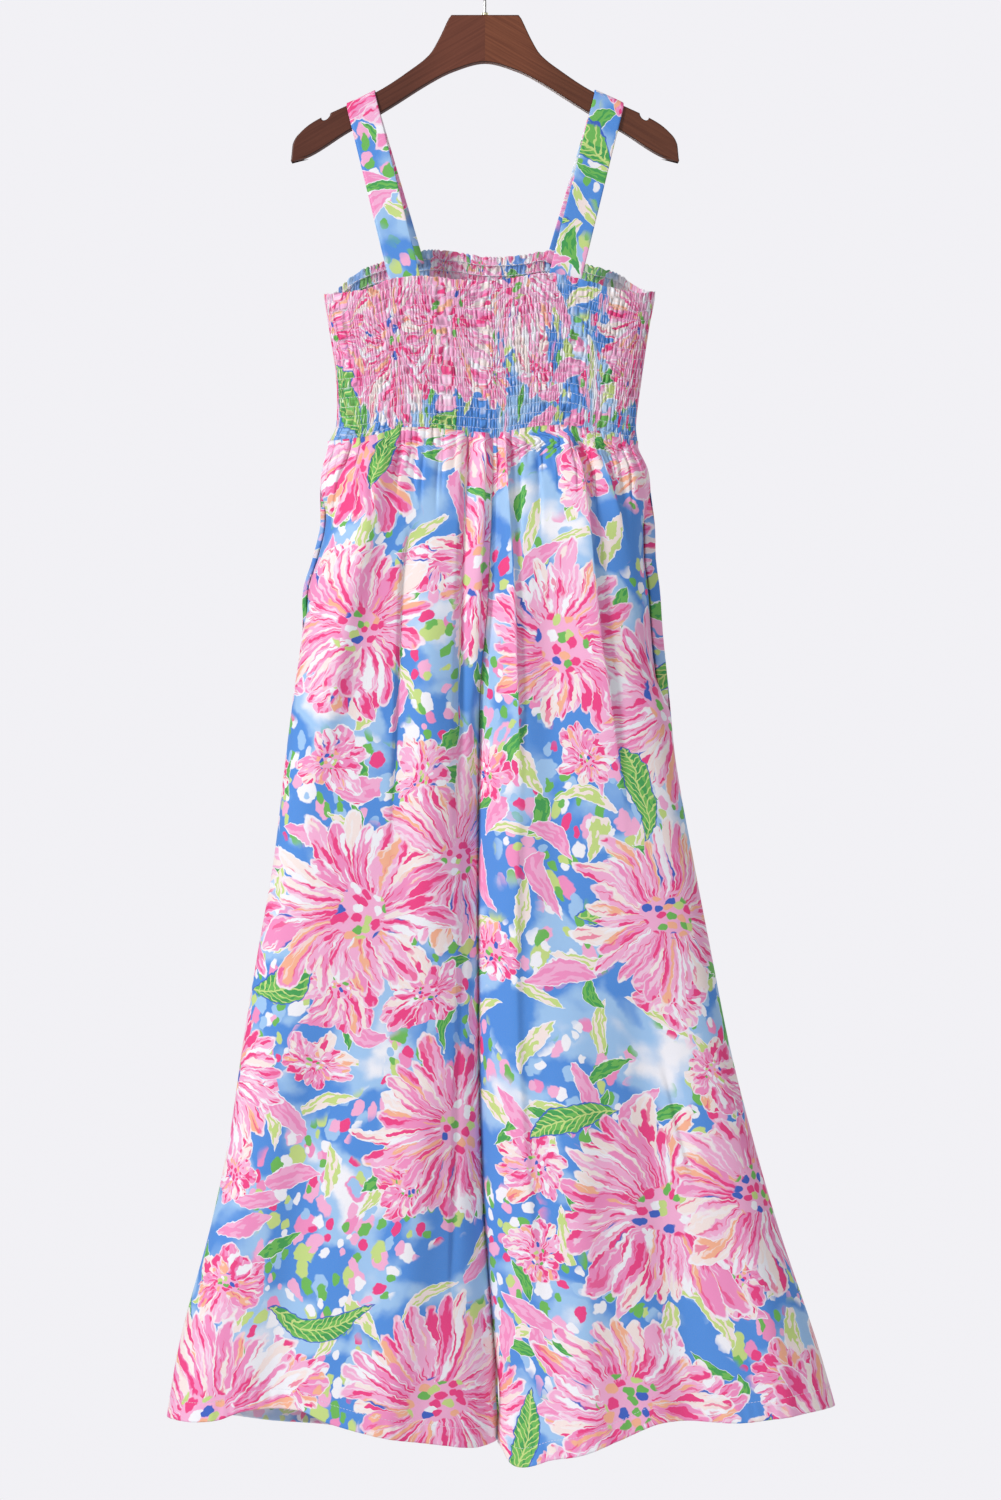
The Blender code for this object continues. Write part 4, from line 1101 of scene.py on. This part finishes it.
class Graph:
    """A node tree, with short calls for the nodes that the materials are built from."""

    def __init__(self, tree):
        self.tree = tree

    def add(self, kind, **settings):
        """A new node with these settings."""
        node = self.tree.nodes.new(kind)
        for name, value in settings.items():
            setattr(node, name, value)
        return node

    def put(self, socket, value):
        """Links a socket to a value, or sets it to a number, a vector or a named paint."""
        if isinstance(value, Value):
            self.tree.links.new(value.socket, socket)
        elif isinstance(value, str):
            socket.default_value = (*PAINT[value], 1.0)
        else:
            socket.default_value = value

    def made(self, kind, inputs, output=0, **settings):
        """One output of a new node, whose inputs are given by name or number."""
        node = self.add(kind, **settings)
        for name, value in inputs.items():
            self.put(node.inputs[name], value)
        return Value(self, node.outputs[output])

    def join(self, x, y, z=0.0):
        """A vector of three parts."""
        return self.made("ShaderNodeCombineXYZ", {0: x, 1: y, 2: z})

    def mix(self, share, a, b):
        """A colour from a, where share is 0, to b, where it is 1."""
        return self.made("ShaderNodeMix", {0: share, 6: a, 7: b}, 2, data_type="RGBA")

    def noise(self, place, scale, detail=2.0, output=0, dimensions="2D"):
        """Smooth noise of this scale, as a number, or as a colour with output 1."""
        inputs = {"Vector": place, "Scale": scale, "Detail": detail}
        return self.made("ShaderNodeTexNoise", inputs, output, noise_dimensions=dimensions)

    def cells(self, place, size, loose):
        """The nearest of many scattered points: how far off it is in cells, its random colour, its place."""
        node = self.add("ShaderNodeTexVoronoi", voronoi_dimensions="2D")
        for name, value in (("Vector", place), ("Scale", 1 / size), ("Randomness", loose)):
            self.put(node.inputs[name], value)
        return [Value(self, node.outputs[name]) for name in ("Distance", "Color", "Position")]

    def pick(self, value, colours):
        """One of the named paints, each for an equal share of the values from 0 to 1."""
        node = self.add("ShaderNodeValToRGB")
        self.put(node.inputs[0], value)
        ramp = node.color_ramp
        ramp.interpolation = "CONSTANT"
        ramp.elements.remove(ramp.elements[1])
        for i, name in enumerate(colours):
            stop = ramp.elements[0] if i == 0 else ramp.elements.new(i / len(colours))
            stop.color = (*PAINT[name], 1.0)
        return Value(self, node.outputs[0])


def scattered(g, place, shift, cell, loose):
    """Where a point lies from the middle of its cell, and three random values of the cell."""
    moved = place + (*shift, 0)
    _, colour, middle = g.cells(moved, cell, loose)
    return moved, (moved - middle).parts(), colour.parts()


def petal_ring(g, under, turn, out, lot, short, colours):
    """A ring of narrow petals, drawn over what is under.

    Each petal has its own length and colours. turn counts petals round the flower, and out is the distance
    from its middle in its radius.
    """
    side = abs(turn.math("FRACT") * 2.0 - 1.0)
    draw = {"Vector": g.join(turn.math("FLOOR"), lot)}
    petal = g.made("ShaderNodeTexWhiteNoise", draw, "Color", noise_dimensions="2D").parts()
    edge = petal[0] * 0.30 + (0.76 - short) - side**1.9 * 0.46 - out
    brush = g.noise(g.join(turn * 2.6, out * 2.2), 1.0, 1.0)
    hairs = g.noise(g.join(turn * 6.5, out * 2.8), 1.0, 1.0)
    fill = g.pick(petal[1], colours)
    fill = g.mix(brush.step(0.42, 0.37), fill, g.pick(petal[2], ("cream", "peach", "white")))
    fill = g.mix(hairs.step(0.60, 0.65) * 0.50, fill, "white")
    fill = g.mix(brush.step(0.63, 0.66), fill, "hot pink")
    fill = g.mix(hairs.step(0.37, 0.33) * 0.70, fill, "hot pink")
    flank = side.step(0.60, 0.70) * petal[2].math("GREATER_THAN", 0.62)
    shade = g.pick(petal[1], ("hot pink", "hot pink", "royal", "hot pink"))
    fill = g.mix(flank * out.step(0.34, 0.44), fill, shade)
    rim = edge.step(0.050, 0.026).math("MAXIMUM", side.step(0.90, 0.97))
    fill = g.mix(rim * (petal[0] * 0.6 + 0.35), fill, "white")
    return g.mix(edge.step(0.0, 0.016), under, fill)


def blossom(g, under, place, shift, cell, radius, petals, chance, loose=0.4):
    """Open flowers, one in a cell by chance: two rings of narrow petals round a heart of dabs."""
    moved, away, lot = scattered(g, place, shift, cell, loose)
    size = lot[1] * (radius * 0.28) + radius * 0.72
    out = g.join(away[0], away[1]).math("LENGTH") / size
    turn = away[1].math("ARCTAN2", away[0]) * (petals / TURN) + 50.0 + lot[0] * petals
    made = petal_ring(g, under, turn + 0.5, out, lot[2], 0.0, ("pale pink", "cream", "pink"))
    made = petal_ring(g, made, turn, out, lot[1], 0.10, ("pink", "pale pink", "pale pink", "pink"))
    distance, colour, _ = g.cells(moved, radius * 0.10, 0.9)
    dab = colour.parts()
    spots = ("hot pink", "lime", "hot pink", "peach", "royal", "leaf", "hot pink", "white")
    heart = g.mix(distance.step(0.46, 0.38), "pale pink", g.pick(dab[0], spots))
    made = g.mix((dab[1] * 0.10 + out).step(0.31, 0.29), made, heart)
    return g.mix(lot[2].math("LESS_THAN", chance), under, made)


def strokes(g, under, place, shift, cell, length, slim, chance, colours, edging="white", veins=0.0):
    """Bent brush strokes or leaves, one in a cell by chance. Their width is slim, in half their length."""
    _, away, lot = scattered(g, place, shift, cell, 0.75)
    angle = lot[0] * TURN
    cos, sin = angle.math("COSINE"), angle.math("SINE")
    along = (away[0] * cos + away[1] * sin) / length
    squared = along * along
    bent = (away[1] * cos - away[0] * sin) / length + squared * 0.26
    across = abs(bent)
    edge = (squared * -1.0 + 1.0) * slim + along * (slim * 0.35) - across
    brush = g.noise(g.join(along * 2.2 + lot[1] * 40.0, bent * 9.0), 1.0, 0.0)
    fill = g.mix(brush.step(0.50, 0.53), colours[0], colours[1])
    if veins:
        slant = (along - across) * veins
        fill = g.mix(slant.math("FRACT").step(0.74, 0.80), fill, colours[2])
        fill = g.mix(across.step(0.022, 0.014), fill, "lime")
    fill = g.mix(edge.step(0.040, 0.022), fill, edging)
    return g.mix(edge.step(0.0, 0.012) * lot[2].math("LESS_THAN", chance), under, fill)


def meadow(g, under, place):
    """Small dabs of paint close together, in patches: a coarse layer and a fine one."""
    coarse = ("pale pink", "white", "pink", "sky", "pale pink", "lime")
    fine = ("leaf", "white", "hot pink", "lime", "white", "leaf", "pale pink", "sky")
    spread = (place + (2.7, 9.2, 0)) * (1.0, 0.72, 1.0)
    patch = g.noise(place + (5.5, 1.3, 0), 8.0, 1.0)
    made = under
    for size, move, colours in ((0.022, 0.0, coarse), (0.014, 4.4, fine)):
        distance, colour, _ = g.cells(spread + (move, move, 0), size, 1.0)
        lot = colour.parts()
        inside = lot[1] * 0.22 + 0.22 - distance
        made = g.mix(inside.step(0.0, 0.06) * patch.step(0.44, 0.50), made, g.pick(lot[0], colours))
    return made


def painted_print():
    """A painterly floral, as a group from a place on the flat cloth, in metres, to a colour.

    From the ground up: a blue and white wash, dabs, thin strokes, small flowers, leaves, large flowers and
    long leaves over them. Each layer has its own shift, and is laid in cells of its own size.
    """
    group = bpy.data.node_groups.new("painted_floral", "ShaderNodeTree")
    group.interface.new_socket("Place", in_out="INPUT", socket_type="NodeSocketVector")
    group.interface.new_socket("Color", in_out="OUTPUT", socket_type="NodeSocketColor")
    g = Graph(group)
    flat = g.made("NodeGroupInput", {})
    middle = (0.5, 0.5, 0.5)
    ragged = (g.noise(flat, 130.0, 1.5, output=1) - middle) * RAGGED
    wander = (g.noise(flat, 16.0, 0.5, output=1) - middle) * WANDER
    place = flat + (ragged + wander)
    wash = g.noise(place, 11.0, 2.5)
    colour = g.mix(wash.step(0.26, 0.40), "white", "sky")
    colour = g.mix(wash.step(0.44, 0.54), colour, "blue")
    colour = meadow(g, colour, place)
    colour = strokes(g, colour, place, (7.3, 2.9), 0.060, 0.032, 0.24, 0.50, ("lime", "cream"))
    colour = strokes(g, colour, place, (8.8, 0.6), 0.060, 0.024, 0.32, 0.50, ("leaf", "green"))
    colour = strokes(g, colour, place, (2.2, 6.1), 0.066, 0.036, 0.30, 0.45, ("pink", "pale pink"))
    colour = blossom(g, colour, place, (4.7, 5.1), 0.100, 0.046, 7, 0.55)
    leaf = ("leaf", "green", "lime")
    colour = strokes(g, colour, place, (1.9, 8.3), 0.170, 0.052, 0.30, 0.50, leaf, "royal", veins=7.0)
    colour = blossom(g, colour, place, (9.1, 3.3), 0.250, 0.118, 17, 0.95, loose=0.45)
    colour = blossom(g, colour, place, (0.4, 7.2), 0.240, 0.108, 14, 0.70, loose=0.45)
    colour = strokes(g, colour, place, (5.9, 6.7), 0.220, 0.046, 0.32, 0.36, leaf, "royal", veins=7.0)
    g.put(g.add("NodeGroupOutput").inputs[0], colour)
    return group


def new_material(name):
    """A graph, its material and the material's shader."""
    made = bpy.data.materials.new(name)
    made.use_nodes = True
    return Graph(made.node_tree), made, made.node_tree.nodes["Principled BSDF"]


def finished(g, shader, colour, roughness, **settings):
    """Sets the shader's colour, its roughness and its other inputs, named with _ for a space."""
    g.put(shader.inputs["Base Color"], colour)
    shader.inputs["Roughness"].default_value = roughness
    for name, value in settings.items():
        shader.inputs[name.replace("_", " ")].default_value = value


def bumped(g, shader, height, strength, distance):
    """Gives the shader a bump of this height."""
    bump = g.made("ShaderNodeBump", {"Strength": strength, "Distance": distance, "Height": height})
    g.put(shader.inputs["Normal"], bump)


def printed_cloth(name, group, bleached=0.0, shaded=0.0):
    """Smooth woven cloth with the print, bleached on its wrong side, with painted shade and highlights on its
    puckers.
    """
    g, made, shader = new_material(name)
    place = g.made("ShaderNodeUVMap", {}, uv_map="print")
    colour = g.made("ShaderNodeGroup", {0: place}, node_tree=group)
    if bleached:
        colour = g.mix(bleached, colour, BLEACHED)
    weave = g.noise(place, 900.0, 1.0)
    colour = g.mix(weave * -0.16 + 0.10, colour, WEAVE_SHADE)
    height = weave * 0.12 + g.noise(place, 70.0, 2.0)
    if shaded:
        pucker = g.made("ShaderNodeUVMap", {}, uv_map="puckers").parts()
        crest, swollen = (abs((part * math.pi).math("SINE")) for part in pucker[:2])
        flecks = g.noise(place * (1.0, 0.30, 1.0), 330.0, 1.0)
        # painted highlight: white flecks on the crests of the puckers
        colour = g.mix(flecks.step(0.56, 0.66) * crest.step(0.5, 0.9) * 0.40, colour, "white")
        # painted shade: darker in the valleys of the puckers and along the darkest flecks
        painted_shade = (crest.step(0.62, 0.12) * swollen.step(0.0, 0.5)).math("MAXIMUM", flecks.step(0.40, 0.30))
        colour = colour * (painted_shade * -shaded + 1.0)
        height = flecks * 1.6 + height
    finished(g, shader, colour, 0.62, Specular_IOR_Level=0.22, Sheen_Weight=0.12, Sheen_Roughness=0.45)
    bumped(g, shader, height, 0.35, 0.0009)
    return made


def wood(name, leg):
    """Dark reddish brown, with fine grain along the arm, a painted highlight that makes it paler at the neck,
    and painted shade on the rounded edges.
    """
    g, made, shader = new_material(name)
    place = g.made("ShaderNodeTexCoord", {}, "Object")
    slope = (0, leg * math.radians(GRAIN_SLOPE), 0)
    along, thick, up = g.made("ShaderNodeMapping", {"Vector": place, "Rotation": slope}).parts()
    stretched = g.join(along * 12.0, thick * 300.0, up * 560.0)
    grain = g.noise(stretched, 1.0, 5.0, dimensions="3D")
    broad = g.noise(stretched * 0.16, 1.0, 2.0, dimensions="3D")
    dark, light = WOOD_COLOURS[leg]
    colour = g.mix(grain.step(0.32, 0.68), dark, light)
    colour = g.mix(broad * 0.5, colour, dark)
    # painted highlight at the neck and painted shade out on the arms: the wood's colour scaled by its
    # distance out
    out = abs(place.parts()[0])
    colour = colour * (out.step(*NECK) * (ARM_PAINTED_LIGHT - NECK_PAINTED_LIGHT) + NECK_PAINTED_LIGHT)
    # painted shade: darker on the rounded edges, where the normal turns from the board's faces to its sides
    facing = abs(g.made("ShaderNodeNewGeometry", {}, "Normal").parts()[1])
    colour = g.mix(facing.step(0.93, 0.60) * facing.step(0.08, 0.30), colour, WOOD_EDGE_SHADE)
    finished(g, shader, colour, 0.42, Specular_IOR_Level=0.30)
    bumped(g, shader, grain, 0.03, 0.0002)
    return made


def darkened(colour, share):
    """A colour at this share of its brightness, with the fourth part that nodes take."""
    return (*(share * part for part in colour), 1.0)


def metal(name, colour, roughness):
    """Bright metal, a little stained and uneven."""
    g, made, shader = new_material(name)
    stains = g.noise(g.made("ShaderNodeTexCoord", {}, "Object"), 420.0, 3.0, dimensions="3D")
    stained = g.mix(stains.step(0.40, 0.62), darkened(colour, 1.0), darkened(colour, 0.72))
    finished(g, shader, stained, roughness, Metallic=1.0)
    bumped(g, shader, stains, 0.15, 0.0001)
    return made


def thread(name, colour):
    """Matt thread with the fine shades of its twist."""
    g, made, shader = new_material(name)
    twist = g.noise(g.made("ShaderNodeTexCoord", {}, "Object"), 2500.0, 1.0, dimensions="3D")
    finished(g, shader, g.mix(twist, darkened(colour, 1.0), darkened(colour, 0.8)), 0.7)
    return made


# ---- The set ----

def light(name, place, size, watts):
    """A round soft light that faces the garment."""
    data = bpy.data.lights.new(name, "AREA")
    data.shape = "DISK"
    data.size = size
    data.energy = watts
    made = bpy.data.objects.new(name, data)
    made.location = place
    made.rotation_euler = (Vector(LIT) - Vector(place)).to_track_quat("-Z", "Y").to_euler()
    bpy.context.scene.collection.objects.link(made)


def camera():
    """A long lens, looking level at the garment from the front."""
    data = bpy.data.cameras.new("camera")
    data.lens = 80.0
    data.sensor_width = 36.0
    made = bpy.data.objects.new("camera", data)
    made.location = CAMERA
    made.rotation_euler = (math.pi / 2, 0, 0)
    bpy.context.scene.collection.objects.link(made)
    bpy.context.scene.camera = made


def surroundings():
    """A pale backdrop for the camera, and a dimmer, bluer one that lights the garment."""
    world = bpy.data.worlds.new("studio")
    world.use_nodes = True
    bpy.context.scene.world = world
    g = Graph(world.node_tree)
    lit = g.tree.nodes["Background"]
    lit.inputs["Color"].default_value = SKY
    lit.inputs["Strength"].default_value = 0.32
    seen = g.made("ShaderNodeBackground", {"Color": BACKDROP})
    by_camera = g.made("ShaderNodeLightPath", {}, "Is Camera Ray")
    mixed = g.made("ShaderNodeMixShader", {0: by_camera, 1: Value(g, lit.outputs[0]), 2: seen})
    g.put(g.tree.nodes["World Output"].inputs[0], mixed)


def floor():
    """A plain pale floor below the garment."""
    place = (0, 0, -FLOOR_DROP)
    bpy.ops.mesh.primitive_circle_add(vertices=96, radius=FLOOR_RADIUS, fill_type="NGON", location=place)
    made = bpy.context.object
    made.name = "floor"
    g, finish, shader = new_material("pale_floor")
    finished(g, shader, FLOOR_COLOUR, 0.8)
    made.data.materials.append(finish)


def studio():
    """The camera, soft light from the upper left, and pale surroundings."""
    camera()
    bpy.context.scene.view_settings.view_transform = "Standard"
    for row in LIGHTS:
        light(*row)
    surroundings()
    floor()


def dress(made):
    """Puts a piece on the one body."""
    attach(made, "root")


def main():
    """Makes the set, the cloths and then the pieces, each on the body."""
    studio()
    print_group = painted_print()
    cloth = [printed_cloth("print_right_side", print_group),
             printed_cloth("print_wrong_side", print_group, bleached=0.16)]
    shirred = [printed_cloth("shirred_right_side", print_group, shaded=0.40),
               printed_cloth("shirred_wrong_side", print_group, bleached=0.08, shaded=0.22)]
    pale_thread = thread("pale_thread", THREAD_COLOUR)
    stitched, elasticated, hemmed, tacked = [], [], [], []
    for side in (FRONT, BACK):
        made, outside, inside = bodice_cloth(side, shirred)
        stitched += outside
        elasticated += inside
        dress(made)
    for leg in (RIGHT, LEFT):
        for side in (FRONT, BACK):
            made, run = leg_cloth(leg, side, cloth)
            hemmed.append(run)
            dress(made)
        tacked += bar_tack(leg)
        for made in pocket_bag(leg, cloth):
            dress(made)
        made, length, width = strap_cloth(leg, cloth)
        dress(made)
        dress(wood_half(leg, wood(f"walnut_{HANDS[leg]}", leg)))
    for name, runs, pattern in (("shirring_threads", stitched, SHIRRING_STITCH),
                                ("shirring_elastic", elasticated, ELASTIC_STITCH),
                                ("hem_stitches", hemmed, HEM_STITCH),
                                ("pocket_bar_tacks", tacked, TACK_STITCH)):
        dress(stitches(name, runs, pattern, pale_thread))
    dress(hook_wire(metal("hook_steel", STEEL, 0.30)))
    dress(collar_ring(metal("collar_brass", BRASS, 0.32)))


main()
